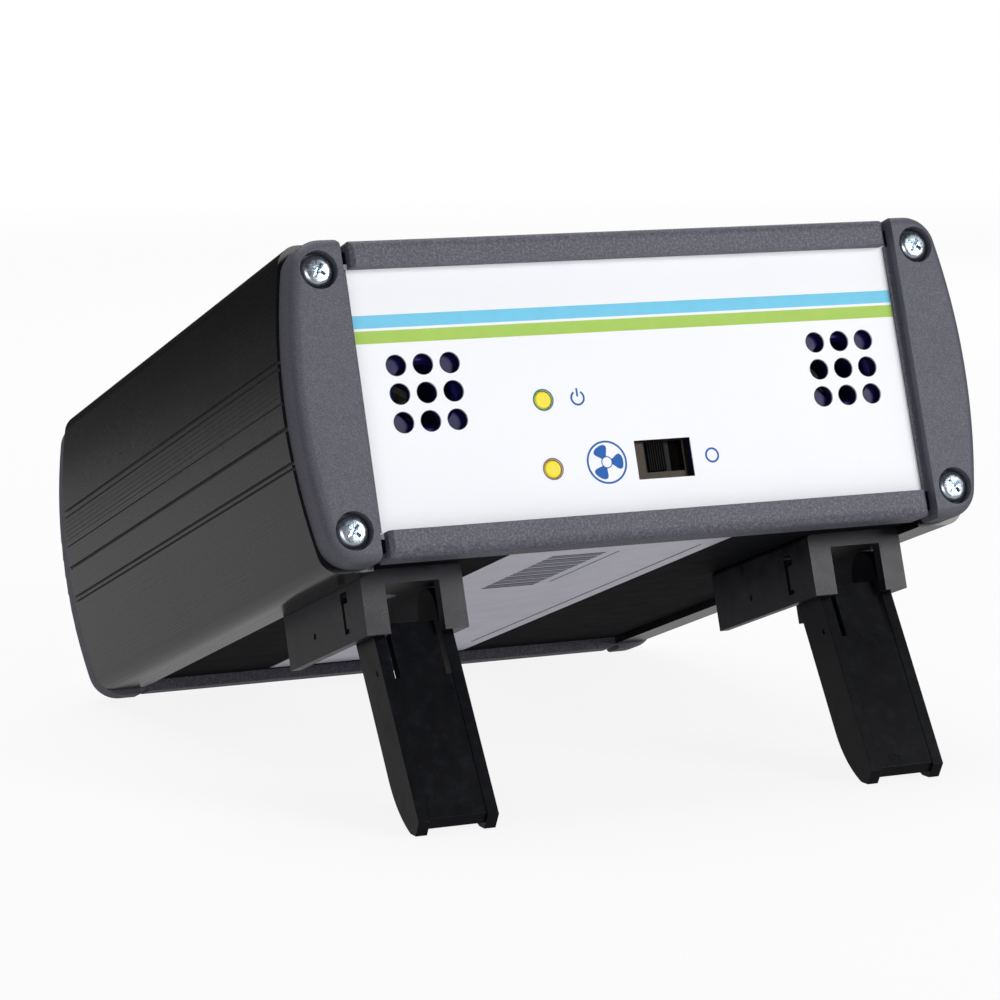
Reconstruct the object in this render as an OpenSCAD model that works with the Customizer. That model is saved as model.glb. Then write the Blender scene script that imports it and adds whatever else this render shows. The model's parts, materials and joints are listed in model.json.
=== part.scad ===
// Ionizing blower: a bulged aluminium extrusion closed by two end bezels,
// with a fan and two emitter nozzles inside, tilted back on fold-out legs.
// Sub-parts are drawn in the housing's own frame: origin at the centre of the
// front panel's face, X to the right, Y into the housing, Z up.
// stand() then tilts the whole housing onto its leg tips and rear edge.

/* [Housing] */
// Widest width of the extruded body
body_w = 125; // [122:0.5:132]
// Height of the extruded body over its long corner rails
body_h = 54.2; // [53.5:0.1:58]
// Length of the extruded body
body_len = 124.3; // [120:0.5:150]
// Wall of the extrusion and thickness of the belly plate
wall = 2; // [1.7:0.1:2.3]
// Radius of the bulged sides
bulge_r = 112; // [95:1:160]
// Outer radius of the long corners
corner_r = 3.8; // [3.4:0.1:4.5]
// How far the corner rails stand proud of the top and the belly between them
rail_h = 1.35; // [1.2:0.05:1.5]
// Depth of the decorative grooves along the sides
groove_d = 0.5; // [0.3:0.05:0.7]

/* [Bezels and panels] */
// Depth of each end bezel
bezel_d = 6.2; // [5.8:0.1:7.5]
// How far a panel's face lies behind its bezel's front
panel_recess = 2.5; // [2.3:0.1:3]
// How far the bezels' lobes stay inside the body's outline
lobe_in = 0.5; // [0.3:0.05:0.6]
// How far the bezels' strips stay inside the body's height
strip_in = 0.9; // [0.8:0.05:1.1]
// Outer radius of the bezels' corners
lobe_corner_r = 5.5; // [5:0.25:6.5]
// How much lower the rear bezel reaches than the front one
heel_drop = 1.6; // [1.3:0.1:1.9]
// Rounding of the bezels' outer edges
edge_r = 1.8; // [1:0.1:2.2]
// Width of each screw lobe
lobe_w = 11.3; // [10.8:0.1:12]
// Height of the strips above and below the panel
strip_h = 4.55; // [4:0.05:5]
// Width of the channel between a lobe and the strips
channel_w = 1.6; // [1:0.1:2]
// Thickness of each end panel, the front one with its overlay
panel_t = 1.5; // [1.2:0.1:1.8]
// Thickness of the printed overlay
overlay_t = 0.2; // [0.15:0.05:0.3]
// Distance of the bezel screws in from the body's widest sides
screw_in_x = 7.1; // [6.9:0.1:7.6]
// Distance of the bezel screws in from the body's top and bottom
screw_in_z = 5.75; // [5.6:0.05:6.3]
// Outer radius of the bezel screws' thread
screw_r = 1.45; // [1.3:0.05:1.6]

/* [Front panel] */
// Distance of each outlet grid in from the side of the panel's window
vent_in = 11.4; // [11.1:0.1:14]
// Height of the outlet grids above the panel's centre
vent_z = 0.8; // [-1:0.1:3]
// Radius of one outlet hole
vent_r = 1.75; // [1.4:0.05:2]
// Spacing of the outlet holes
vent_pitch = 4.73; // [4.4:0.01:4.9]
// Place of the lamps to the left of the panel's centre
lamp_x = 18.3; // [17:0.1:20]
// Height of the power lamp
power_lamp_z = -1.6; // [-3:0.1:0]
// Height of the fan lamp
fan_lamp_z = -13.2; // [-14:0.1:-12]
// Radius of a lamp's lens
lamp_r = 1.5; // [1.2:0.05:1.6]
// Place of the slide switch to the right of the panel's centre
switch_x = 2.2; // [0:0.1:4]
// Height of the slide switch
switch_z = -12.7; // [-13.5:0.1:-11]
// Width of the switch window in the panel
switch_win_w = 10.4; // [10:0.1:11]
// Height of the switch window in the panel
switch_win_h = 6.6; // [6.2:0.1:7]
// Width of the slot that the switch knob slides in
switch_slot_w = 6.9; // [6.5:0.1:7.2]
// Height of the switch slot
switch_slot_h = 5.2; // [5:0.1:5.3]
// Width of the switch knob
knob_w = 3.2; // [3:0.1:3.4]

/* [Feet] */
// Distance of each foot's middle in from the belly plate's side
foot_in = 9.1; // [9.05:0.05:10.5]
// Where the foot blocks start behind the front panel
foot_y = 10.5; // [9:0.1:12]
// Width of a foot block
foot_w = 18; // [17:0.1:18]
// Length of a foot block
foot_len = 37; // [35:0.5:42]
// Height of a foot block below the belly plate
foot_h = 10.75; // [10.5:0.05:12]
// Thickness of the foot block's roof
foot_roof = 2.5; // [2.2:0.1:2.5]
// Width of a leg
leg_w = 14; // [13:0.1:14.2]
// Thickness of a leg
leg_t = 8; // [7.6:0.1:8]
// Length of a leg from its pivot to the middle of its tip
leg_reach = 38.3; // [36:0.1:44]
// Forward lean of an open leg
leg_lean = 14.56; // [12:0.1:17]
// Radius of the leg's pivot pins
pivot_r = 1.5; // [1.2:0.05:1.8]

/* [Nozzles and electronics] */
// Outer radius of a nozzle
nozzle_r = 9; // [8.8:0.1:9.2]
// Bore radius of a nozzle
nozzle_bore_r = 5.15; // [4.8:0.05:5.6]
// Length of a nozzle
nozzle_len = 22; // [20:0.5:26]
// Radius of an emitter pin
emitter_r = 0.5; // [0.4:0.05:0.6]
// Thickness of the circuit boards
board_t = 1.6; // [1.2:0.1:1.6]
// Height of the main board's top face
board_top = -14.4; // [-14.6:0.1:-14]
// Gap between the main board's end and the fan's screws
board_gap = 3.2; // [2.5:0.1:5]
// Gap between the front panel's face and the control board
control_y = 8; // [7.8:0.1:8.4]

/* [Fan and inlet] */
// Side of the square fan frame
fan_w = 40; // [38:0.5:41]
// Depth of the fan frame
fan_d = 20; // [19:0.5:21]
// Spacing of the fan's screw holes
fan_pitch = 32; // [31:0.1:33]
// Number of fan blades
fan_blades = 7; // [5:1:9]
// Gap between the blade tips and the fan's bore
tip_gap = 0.6; // [0.5:0.05:0.9]
// Radius of the fan's shaft
shaft_r = 1; // [0.8:0.05:1.2]
// Radial clearance of running fits
run_gap = 0.04; // [0.02:0.01:0.08]
// Distance of the power inlet in from the side of the rear panel's window
inlet_in = 10.1; // [8:0.1:14]
// Height of the power inlet
inlet_z = -4; // [-8:0.5:4]
// Radius of the power inlet's bore
inlet_bore_r = 3.15; // [2.9:0.05:3.2]
// Radius of the power inlet's centre pin
inlet_pin_r = 1.05; // [0.9:0.05:1.25]

/* [Hidden] */
$fn = 64;
cut = 1;            // how far a cutting tool runs past the face that it cuts
fit = 0.15;         // clearance round pieces that drop into a pocket
blend = 0.004;      // corners stand this proud of the bulge, so that the two arcs cross

// Stations along the housing
shell_y0 = bezel_d - panel_recess;
shell_y1 = shell_y0 + body_len;
panel_back = panel_t;
rear_face = shell_y1 + shell_y0;
rear_panel_in = rear_face - panel_t;

// Bezels
bezel_w = body_w - 2 * lobe_in;
lobe_h = body_h - 2 * lobe_in;
strips_h = body_h - 2 * strip_in;
joint_h = strips_h - 0.9;   // height over the bars that join the lobes and the strips
channel_d = 3.2;            // depth of the channels between them
strip_c = 0.7;              // chamfer on the ends of the strips
lobe_x = body_w / 2 - lobe_w;
strip_x = lobe_x - channel_w;
ledge_w = 1.1;      // ledge beside the panel at the foot of each lobe
ledge_t = 0.6;
window_w = 2 * (lobe_x - ledge_w);
window_h = strips_h - 2 * strip_h;
notch_c = 0.6;      // chamfer where a channel runs out over the top and bottom
screw_x = body_w / 2 - screw_in_x;
screw_z = body_h / 2 - screw_in_z;
head_r = 1.86 * screw_r;
head_h = 2.1;
sink_r = head_r + 0.5;
sink_d = panel_recess - 0.2;
panel_w = 2 * (screw_x - sink_r - 0.2);
panel_lap = 0.85;   // overlap of a panel on the end of the extrusion's wall
inner_h = body_h - 2 * rail_h - 2 * wall;
panel_h = inner_h + 2 * panel_lap;
seal_w = 1.8;
vent_x = window_w / 2 - vent_in;
inlet_x = window_w / 2 - inlet_in;

// Extrusion
port_r = screw_r + 1.85;
belly_gap = 0.2;    // gap on each side of the belly plate
belly_half = lobe_x - 0.6;
tongue = 1.8;       // how far the belly plate's tongues run into the body
belly_z = rail_h - body_h / 2;
guide_t = 1.2;      // thickness of the ribs that guide the main board
guide_gap = 0.1;
guide_len = 2.5;
board_half = side_x(board_top) - wall - 1;
label_w = 0.81 * belly_half;
label_x = -0.1 * belly_half;
label_t = 0.15;
label_gap = [1.3, 3];   // how far the label stays back from the belly plate's ends

// Side grooves: height, width and share of groove_d
grooves = [[7.9, 0.5, 1], [6.7, 0.4, 0.7], [1.1, 0.3, 0.6],
    [-3.1, 0.7, 1.2], [-8.7, 0.5, 1], [-9.6, 0.4, 0.9]];
hatch_n = 5;        // fine lines between the upper grooves
hatch_z = 2.3;
hatch_w = 0.2;
hatch_pitch = 0.85;

// Feet
foot_x = belly_half - foot_in;
foot_gap = 0.3;     // gap on each side of a leg in its block
foot_screw_r = 1.5;
foot_screw_y = [15.5, 29.5];
foot_z = belly_z - foot_h;
roof_z = belly_z - foot_roof;
pivot_z = foot_z + leg_t / 2;
foot_open_w = 9.6;  // opening between the front posts
stop_gap = 0.05;
post_t = 2.2;
// The open leg's front face rests on the lower back edge of the front posts
pivot_y = foot_y + post_t + stop_gap
    + (leg_t / 2 + (pivot_z - foot_z) * sin(leg_lean)) / cos(leg_lean);
leg_wall = 2;       // cheeks and web of a leg
slit_w = 0.9;
slit_len = 9.6;     // slits that let the cheeks spring, below the pivot
web_top = 3;        // top of the web below the pivot
web_short = 0.5;    // how far the web stops short of the tips
web_in = 0.12;      // how far the web's face lies behind the cheeks' fronts
dimple_r = 0.55;
tip_fwd = 0.5;      // middle of the tip, ahead of the leg's centre line
tip_front = 0.8;    // how much higher the front face ends than the tip's middle
back_arc_r = 17.7;  // curve of the leg's back down to the tip
back_arc_len = 11.3;
pin_len = 1.1;      // how far a pivot pin reaches into the block's wall
foot_wall = (foot_w - leg_w) / 2 - foot_gap;

// Standing attitude: leg tips and the rear bezel's lower edge touch the ground
tip_y = pivot_y - tip_fwd * cos(leg_lean) - leg_reach * sin(leg_lean);
tip_z = pivot_z + tip_fwd * sin(leg_lean) - leg_reach * cos(leg_lean);
heel_y = rear_face + panel_recess - edge_r;
heel_z = edge_r - heel_drop - lobe_h / 2;
heel_dist = norm([heel_y - tip_y, heel_z - tip_z]);
tilt = atan2(heel_z - tip_z, heel_y - tip_y) - asin(edge_r / heel_dist);
toe = [pivot_y - leg_t / 2 * cos(leg_lean) - (leg_reach - tip_front) * sin(leg_lean),
       pivot_z + leg_t / 2 * sin(leg_lean) - (leg_reach - tip_front) * cos(leg_lean)];
stand_front = toe[0] * cos(tilt) + toe[1] * sin(tilt);
stand_back = heel_y * cos(tilt) - heel_z * sin(tilt) + edge_r;
stand_y = (stand_front + stand_back) / 2;
stand_z = tip_z * cos(tilt) - tip_y * sin(tilt);

// Nozzles
pedestal = [10, 12];
pedestal_y = 11.5;
nozzle_screw_y = [3, 9];
holder_y = panel_back + 15.5;
holder_t = 3;
emitter_back = holder_y + 7;
emitter_front = panel_back + 8;
emitter_point = 2.5;
board_y = 11;

// Fan, along Y from its inner face
fan_y = rear_panel_in - fan_d;
nut_h = 2.4;
screw_over = 0.6;   // how far the fan's screws pass their nuts
board_len = fan_y - nut_h - screw_over - board_gap - board_y;

// High-voltage module and its leads
module_size = [44, 26, 17];
module_y = board_y + board_len / 3;
module_lead = [16, 11.4];   // where its leads leave it, from its middle and its base
lead_r = 1;

// Parts on the main board: place as shares of its half width and its length, radius, height
cap_places = [[0.58, 0.44, 4, 11], [0.58, 0.57, 4, 11], [0.55, 0.76, 5, 14]];
transformer_place = [-0.615, 0.527];
transformer_size = [18, 14, 14];
socket_in = 10;     // sockets in from the board's end
socket_y = board_y + board_len - socket_in;
fan_socket_x = -0.51 * board_half;
power_socket_x = 0.65 * board_half;

// Control board
control_x = -5;
control_half = vent_x - nozzle_r - 4.7 + control_x;
control_z = [-19, 9];
stud_r = 1.25;
stud_z = 5.5;
stud_in = 2.5;

lens_edge = 0.35;   // rounding of a lamp's lens

// Slide switch
switch_case_w = switch_win_w + 2.2;
switch_case_h = switch_win_h + 1.8;
switch_face = panel_back + 0.05;
slot_dx = 0.85;     // middle of the slot from the middle of the window
slot_dz = 0.65;
case_t = 0.5;
base_t = 1.6;
knob_gap = 0.1;
knob_h = switch_slot_h - 2 * knob_gap;
knob_out = 0.6;     // how far the knob stands out of its case
slider_w = knob_w + 2.8;
switch_travel = switch_slot_w - knob_w - 2 * knob_gap;

// Fan parts, along Y from the fan's inner face
fan_bore_r = fan_w / 2 - 1;
flange_t = 3.2;
fan_corner = 2.8;
motor_r = 11.5;
motor_t = 1.8;
strut_w = 2.2;
tube_r = 3.4;
sleeve_r = 2.5;
sleeve_len = 8;
hub_r = 10.5;
cup_r = 9.3;
hub_y0 = 3.3;
hub_y1 = fan_d - 1.6;
hub_cap = 1.6;
boss_len = 3;
blade_h = 12;
blade_y0 = 4.4;
blade_t = 1.1;
blade_half = 5.5;
blade_bend_r = 16;
stator_r = 8.6;
fan_screw_r = 1.5;
intake_rings = 3;
intake_pitch = 5;

// Power inlet
inlet_r = 4;
inlet_flange_r = 5.5;
inlet_flange_t = 1.6;
inlet_len = 13;
inlet_depth = 10.5;
inlet_pin_len = 9;

// Half width of the body at height z
function side_x(z) = body_w / 2 - bulge_r + sqrt(bulge_r * bulge_r - z * z);

// ---- general shapes -------------------------------------------------------

// A profile drawn in X and Z, extruded from y0 to y1
module along_y(y0, y1) {
    translate([0, y1, 0]) rotate([90, 0, 0]) linear_extrude(y1 - y0) children();
}

// A profile drawn in Y and Z, extruded from x0 to x1
module along_x(x0, x1) {
    translate([x0, 0, 0]) rotate([90, 0, 90]) linear_extrude(x1 - x0) children();
}

// A rod along Y at x, z
module rod(x, z, y0, y1, r) {
    translate([x, y0, z]) rotate([-90, 0, 0]) cylinder(r = r, h = y1 - y0);
}

// A cone along Y at x, z, from radius r0 at y0 to r1 at y1
module taper(x, z, y0, y1, r0, r1) {
    translate([x, y0, z]) rotate([-90, 0, 0]) cylinder(r1 = r0, r2 = r1, h = y1 - y0);
}

// A box from one corner to the other
module block(low, high) {
    translate(low) cube(high - low);
}

// Both ends of a pair, mirrored across the housing's centre plane
module both_sides() {
    children();
    mirror([1, 0, 0]) children();
}

// A copy turned to face the rear of the housing
module at_rear() {
    translate([0, shell_y0 + shell_y1, 0]) mirror([0, 1, 0]) children();
}

// The four bezel screw places
module at_screws() {
    for (sx = [-1, 1], sz = [-1, 1]) translate([sx * screw_x, 0, sz * screw_z]) children();
}

// The housing's attitude on its legs
module stand() {
    translate([0, -stand_y, -stand_z]) rotate([-tilt, 0, 0]) children();
}

// Outline with bulged sides and round corners
module bulged_outline(w, h, br, cr) {
    cx = w / 2 - br;
    t = asin((h / 2 - cr) / (br - cr + blend));
    kx = cx + (br - cr + blend) * cos(t);
    square([2 * kx, h], center = true);
    for (s = [0, 1]) mirror([s, 0]) {
        intersection() {
            translate([cx, 0]) circle(br, $fn = 180);
            polygon([[cx, 0], [cx + 1.2 * br, 1.2 * br * tan(t)], [cx + 1.2 * br, -1.2 * br * tan(t)]]);
        }
        for (sz = [-1, 1]) translate([kx, sz * (h / 2 - cr)]) circle(cr);
    }
}

// A disc along Y with its front edge rounded
module soft_disc(r, d, er, n) {
    rotate([-90, 0, 0]) rotate_extrude($fn = n) {
        translate([0, er]) square([r, d - er]);
        square([r - er, d]);
        translate([r - er, er]) circle(er, $fn = 32);
    }
}

// Side view of a slab with its front edges rounded
module soft_side(h, d, er) {
    translate([er, -h / 2]) square([d - er, h]);
    translate([0, er - h / 2]) square([d, h - 2 * er]);
    for (sz = [-1, 1]) translate([er, sz * (h / 2 - er)]) circle(er, $fn = 32);
}

// Slab with the bulged outline and a rounded front edge
module soft_slab(w, h, br, cr, er, d) {
    cx = w / 2 - br;
    t = asin((h / 2 - cr) / (br - cr));
    kx = cx + (br - cr) * cos(t);
    along_x(-kx, kx) soft_side(h, d, er);
    both_sides() {
        intersection() {
            translate([cx, 0, 0]) soft_disc(br, d, er, 180);
            along_y(0, d) polygon([[cx, 0], [cx + 1.2 * br, 1.2 * br * tan(t)],
                [cx + 1.2 * br, -1.2 * br * tan(t)]]);
        }
        for (sz = [-1, 1]) translate([kx, 0, sz * (h / 2 - cr)]) soft_disc(cr, d, er, 64);
    }
}

// ---- leads ----------------------------------------------------------------

function spline_at(a, b, c, d, t) = 0.5 * (2 * b + (c - a) * t
    + (2 * a - 5 * b + 4 * c - d) * t * t + (3 * b - a - 3 * c + d) * t * t * t);

function smooth_path(p, steps) = [
    for (i = [0:len(p) - 2], k = [0:steps - 1])
        spline_at(p[max(i - 1, 0)], p[i], p[i + 1], p[min(i + 2, len(p) - 1)], k / steps),
    p[len(p) - 1]
];

function unit(v) = v / norm(v);

// A ring of points round p, square to the direction d
function ring_at(p, d, r, n) = let (
    side = unit(cross(d, abs(d[2]) > 0.9 ? [1, 0, 0] : [0, 0, 1])),
    up = cross(side, d)
) [for (k = [0:n - 1]) p + r * (cos(360 * k / n) * side + sin(360 * k / n) * up)];

// A round lead that follows a smooth curve through the points
module lead(points, r, sides = 8, steps = 4) {
    path = smooth_path(points, steps);
    last = len(path) - 1;
    rings = [for (i = [0:last])
        ring_at(path[i], unit(path[min(i + 1, last)] - path[max(i - 1, 0)]), r, sides)];
    polyhedron(
        points = [for (ring = rings) each ring],
        faces = concat(
            [[for (k = [sides - 1:-1:0]) k]],
            [for (i = [0:last - 1], k = [0:sides - 1]) let (n = (k + 1) % sides)
                [i * sides + n, (i + 1) * sides + n, (i + 1) * sides + k, i * sides + k]],
            [[for (k = [0:sides - 1]) last * sides + k]]
        )
    );
}

// ---- housing --------------------------------------------------------------

// Guide rib and wall section of the extrusion
module shell_section() {
    slot_z = belly_z + wall / 2;
    difference() {
        union() {
            difference() {
                bulged_outline(body_w, body_h, bulge_r, corner_r);
                bulged_outline(body_w - 2 * wall, inner_h, bulge_r - wall, corner_r - wall);
            }
            for (sx = [-1, 1], sz = [-1, 1])
                translate([sx * screw_x, sz * screw_z]) circle(port_r);
            for (s = [0, 1]) mirror([s, 0]) {
                // thick lip that carries the belly plate's tongue
                translate([belly_half, -body_h / 2]) square([screw_x - belly_half, rail_h + wall + 1.3]);
                // ribs above and below the main board
                for (z = [board_top + guide_gap, board_top - board_t - guide_gap - guide_t])
                    translate([board_half + 1 - guide_len, z])
                        square([guide_len + wall / 2, guide_t]);
            }
        }
        for (sx = [-1, 1], sz = [-1, 1]) translate([sx * screw_x, sz * screw_z]) {
            circle(screw_r);
            // the ports are open towards the middle, as extruded
            translate([sx > 0 ? -port_r - cut : 0, -0.6]) square([port_r + cut, 1.2]);
        }
        translate([-belly_half, belly_z - rail_h - cut])
            square([2 * belly_half, rail_h + wall + 1.3 + 2 * cut]);
        translate([-belly_half, body_h / 2 - rail_h]) square([2 * belly_half, rail_h + cut]);
        translate([-belly_half - tongue, slot_z]) square([2 * (belly_half + tongue), wall / 2 + 0.1]);
        for (s = [0, 1]) mirror([s, 0]) {
            for (g = grooves) translate([side_x(g[0]) - groove_d * g[2], g[0] - g[1] / 2])
                square([groove_d * g[2] + cut, g[1]]);
            for (i = [0:hatch_n - 1]) let (z = hatch_z + i * hatch_pitch)
                translate([side_x(z) - groove_d / 4, z - hatch_w / 2]) square([groove_d / 4 + cut, hatch_w]);
        }
    }
}

module body_shell() stand() color("#26272b") along_y(shell_y0, shell_y1) shell_section();

module belly_plate() stand() color("#2a2b2f") {
    difference() {
        union() {
            block([belly_gap - belly_half, shell_y0, belly_z],
                [belly_half - belly_gap, shell_y1, belly_z + wall]);
            block([belly_gap - belly_half - tongue, shell_y0, belly_z + wall / 2],
                [belly_half + tongue - belly_gap, shell_y1, belly_z + wall]);
        }
        at_foot_screws() translate([0, 0, -cut]) cylinder(r = foot_screw_r, h = wall + 2 * cut);
    }
}

// One bezel, with its front at y = -panel_recess. heel is how much lower it reaches.
module bezel(heel) translate([0, -panel_recess, 0]) difference() {
    union() {
        translate([0, 0, -heel / 2]) {
            both_sides() intersection() {
                soft_slab(bezel_w, lobe_h + heel, bulge_r, lobe_corner_r, edge_r, bezel_d);
                block([lobe_x, -cut, -body_h], [body_w, bezel_d + cut, body_h]);
            }
            along_x(-strip_x, strip_x) soft_side(strips_h + heel, bezel_d, edge_r);
        }
        block([-lobe_x - cut, panel_recess - ledge_t, -joint_h / 2 - heel],
            [lobe_x + cut, bezel_d, joint_h / 2]);
    }
    cube([window_w, 4 * bezel_d, window_h], center = true);
    block([-panel_w / 2 - fit, panel_recess, -panel_h / 2 - fit],
        [panel_w / 2 + fit, bezel_d + cut, panel_h / 2 + fit]);
    // channels between the lobes and the strips
    both_sides() {
        for (low = [window_h / 2, -body_h]) block([strip_x, -cut, low],
            [lobe_x, channel_d, low + body_h - window_h / 2]);
        translate([strip_x, 0, 0]) rotate(45)
            cube([strip_c * sqrt(2), strip_c * sqrt(2), 2 * body_h], center = true);
        for (e = [[1, 0], [-1, heel]]) translate([0, 0, -e[0] * e[1]]) along_y(-cut, bezel_d + cut) polygon([
            [strip_x, e[0] * joint_h / 2], [strip_x - notch_c, e[0] * (lobe_h / 2 + 0.1)],
            [lobe_x + notch_c, e[0] * (lobe_h / 2 + 0.1)], [lobe_x, e[0] * joint_h / 2]]);
    }
    at_screws() {
        rod(0, 0, -cut, sink_d, sink_r);
        rod(0, 0, 0, bezel_d + cut, screw_r + 0.25);
    }
}

module front_bezel() stand() color("#4a4b55") bezel(0);

module rear_bezel() stand() color("#4a4b55") at_rear() bezel(heel_drop);

// Pan-head screw with its head's underside at y = 0, pointing along +Y
module pan_screw(r, hr, hh, len) {
    difference() {
        union() {
            rod(0, 0, -hh / 2, len, r);
            rotate([90, 0, 0]) rotate_extrude() intersection() {
                square([hr, hh]);
                translate([0, -hr * 0.9]) circle(hr * 0.9 + hh);
            }
        }
        for (a = [0, 90]) rotate([0, a, 0]) block([-hr * 0.55, -hh - cut, -hr * 0.14],
            [hr * 0.55, -hh * 0.4, hr * 0.14]);
    }
}

module bezel_screws() at_screws() translate([0, sink_d - panel_recess, 0])
    pan_screw(screw_r, head_r, head_h, 12);

module front_screws() stand() color("silver") bezel_screws();

module rear_screws() stand() color("silver") at_rear() bezel_screws();

// Frame of foam between a panel and the end of the extrusion
module seal() along_y(panel_t, shell_y0) difference() {
    square([panel_w, panel_h], center = true);
    square([panel_w - 2 * seal_w, panel_h - 2 * seal_w], center = true);
}

module front_seal() stand() color("#17181a") seal();

module rear_seal() stand() color("#17181a") at_rear() seal();

// Holes that the front panel and its overlay share
module front_holes() {
    for (sx = [-1, 1], i = [-1:1], k = [-1:1])
        translate([sx * vent_x + i * vent_pitch, vent_z + k * vent_pitch]) circle(vent_r);
    for (z = [power_lamp_z, fan_lamp_z]) translate([-lamp_x, z]) circle(lamp_r + 0.1);
    translate([switch_x, switch_z]) square([switch_win_w, switch_win_h], center = true);
}

// Studs behind the front panel that carry the control board
module at_studs() {
    for (s = [-1, 1]) translate([control_x + s * (control_half - stud_in), 0, stud_z]) children();
}

module front_panel() stand() color("#1c1d20") {
    along_y(overlay_t, panel_back) difference() {
        square([panel_w, panel_h], center = true);
        front_holes();
    }
    at_studs() rod(0, 0, panel_back, control_y + board_t + nut_h + 1, stud_r);
}

module front_overlay() stand() color("#f6f7fa") along_y(0, overlay_t) difference() {
    square([window_w + ledge_w, window_h + 2], center = true);
    front_holes();
}

// Air intake: rings of holes in front of the fan
module intake_holes() {
    circle(vent_r);
    for (ring = [1:intake_rings], i = [0:6 * ring - 1])
        rotate(60 * i / ring) translate([ring * intake_pitch, 0]) circle(vent_r);
}

module rear_panel() stand() color("#2a2b30") along_y(rear_panel_in, rear_face) difference() {
    square([panel_w, panel_h], center = true);
    intake_holes();
    for (sx = [-1, 1], sz = [-1, 1])
        translate([sx, sz] * fan_pitch / 2) circle(fan_screw_r + 0.1);
    translate([inlet_x, inlet_z]) circle(inlet_r + 0.1);
}

module underside_label() stand() color("#b9bac4")
    block([label_x - label_w / 2, shell_y0 + label_gap[0], belly_z - label_t],
        [label_x + label_w / 2, shell_y1 - label_gap[1], belly_z]);

// ---- fold-out feet --------------------------------------------------------

module at_foot_screws() {
    for (sx = [-1, 1], y = foot_screw_y) translate([sx * foot_x, foot_y + y, belly_z]) children();
}

// J-shaped slit that frees a spring tongue beside the pivot
module foot_slit() {
    y = pivot_y + 1.1;
    along_x(leg_w / 2 + foot_gap - cut, foot_w / 2 + cut) {
        translate([y, foot_z + 2.2]) square([1, roof_z - foot_z - 2.2]);
        translate([y - 1, foot_z + 1.7]) square([2, 0.8]);
        translate([y - 1.8, roof_z - 1.6]) square([3, 1.9]);
    }
}

module foot_block(side) translate([side * foot_x, 0, 0]) difference() {
    along_y(foot_y, foot_y + foot_len) {
        translate([-foot_w / 2, foot_z]) square([foot_w, foot_h - 0.8]);
        translate([-foot_w / 2 + 0.8, foot_z]) square([foot_w - 1.6, foot_h]);
        for (s = [-1, 1]) translate([s * (foot_w / 2 - 0.8), belly_z - 0.8]) circle(0.8, $fn = 24);
    }
    // channel that the leg folds into, open below and behind
    block([-leg_w / 2 - foot_gap, foot_y + post_t, foot_z - cut],
        [leg_w / 2 + foot_gap, foot_y + foot_len + cut, roof_z]);
    block([-foot_open_w / 2, foot_y - cut, foot_z - cut], [foot_open_w / 2, foot_y + post_t + cut, roof_z]);
    both_sides() {
        foot_slit();
        translate([0, pivot_y, pivot_z]) rotate([0, 90, 0])
            cylinder(r = pivot_r + run_gap, h = leg_w / 2 + foot_gap + pin_len + 0.1);
    }
    for (y = foot_screw_y) translate([0, foot_y + y, roof_z]) {
        translate([0, 0, -cut]) cylinder(r = foot_screw_r + 0.2, h = foot_roof + 2 * cut);
        translate([0, 0, -0.01])
            cylinder(r1 = 2 * foot_screw_r + 0.06, r2 = foot_screw_r + 0.06, h = foot_screw_r);
    }
    // ejector marks on the outer walls
    both_sides() translate([foot_w / 2 - 0.4, foot_y + 23.4, belly_z - 7]) rotate([0, 90, 0])
        cylinder(r = dimple_r, h = 0.4 + cut, $fn = 24);
}

module left_foot_block() stand() color("#1b1c1e") foot_block(-1);

module right_foot_block() stand() color("#1b1c1e") foot_block(1);

// Side view of a leg that hangs straight down from its pivot, front towards -Y.
// drop is how much shorter than the tip it ends.
module leg_side(drop) {
    arc_z = -leg_reach + back_arc_len;
    difference() {
        union() {
            circle(leg_t / 2);
            translate([-leg_t / 2, arc_z]) square([leg_t, -arc_z]);
            intersection() {
                translate([-leg_t / 2, -leg_reach - 2]) square([leg_t, back_arc_len + 2]);
                translate([leg_t / 2 - back_arc_r, arc_z]) circle(back_arc_r, $fn = 96);
            }
        }
        // the tip's flat lies on the ground when the blower stands
        translate([-tip_fwd, drop - leg_reach]) rotate(leg_lean + tilt)
            translate([-20, -20]) square([40, 20]);
        // chamfer from the front face down to the flat
        translate([-leg_t / 2, drop + tip_front - leg_reach]) rotate(-28)
            translate([-5, -10]) square([20, 10]);
    }
}

module leg(side) translate([side * foot_x, pivot_y, pivot_z]) rotate([-leg_lean, 0, 0]) {
    half = leg_w / 2;
    both_sides() {
        difference() {
            along_x(half - leg_wall, half) leg_side(0);
            translate([half - 0.4, -leg_t / 4, -0.28 * leg_reach]) rotate([0, 90, 0])
                cylinder(r = dimple_r, h = 0.4 + cut, $fn = 24);
        }
        rotate([0, 90, 0]) translate([0, 0, half - cut / 2])
            cylinder(r = pivot_r, h = foot_gap + pin_len + cut / 2);
    }
    // front web, cut free of the cheeks by two slits near its top
    difference() {
        along_x(-half, half) intersection() {
            leg_side(web_short);
            translate([web_in - leg_t / 2, -leg_reach]) square([leg_wall - web_in, leg_reach - web_top]);
        }
        both_sides() block([half - leg_wall - slit_w, -leg_t, -slit_len - web_top],
            [half - leg_wall, leg_t, cut]);
        both_sides() block([half - leg_wall, -leg_t, -web_top - cut], [half + cut, leg_t, cut]);
    }
    // stiffening rib behind the web
    along_x(-0.6, 0.6) intersection() {
        leg_side(web_short + 1);
        translate([web_in - leg_t / 2, -leg_reach]) square([leg_t * 0.7, leg_reach - web_top - 3]);
    }
}

module left_leg() stand() color("#121317") leg(-1);

module right_leg() stand() color("#121317") leg(1);

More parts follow.
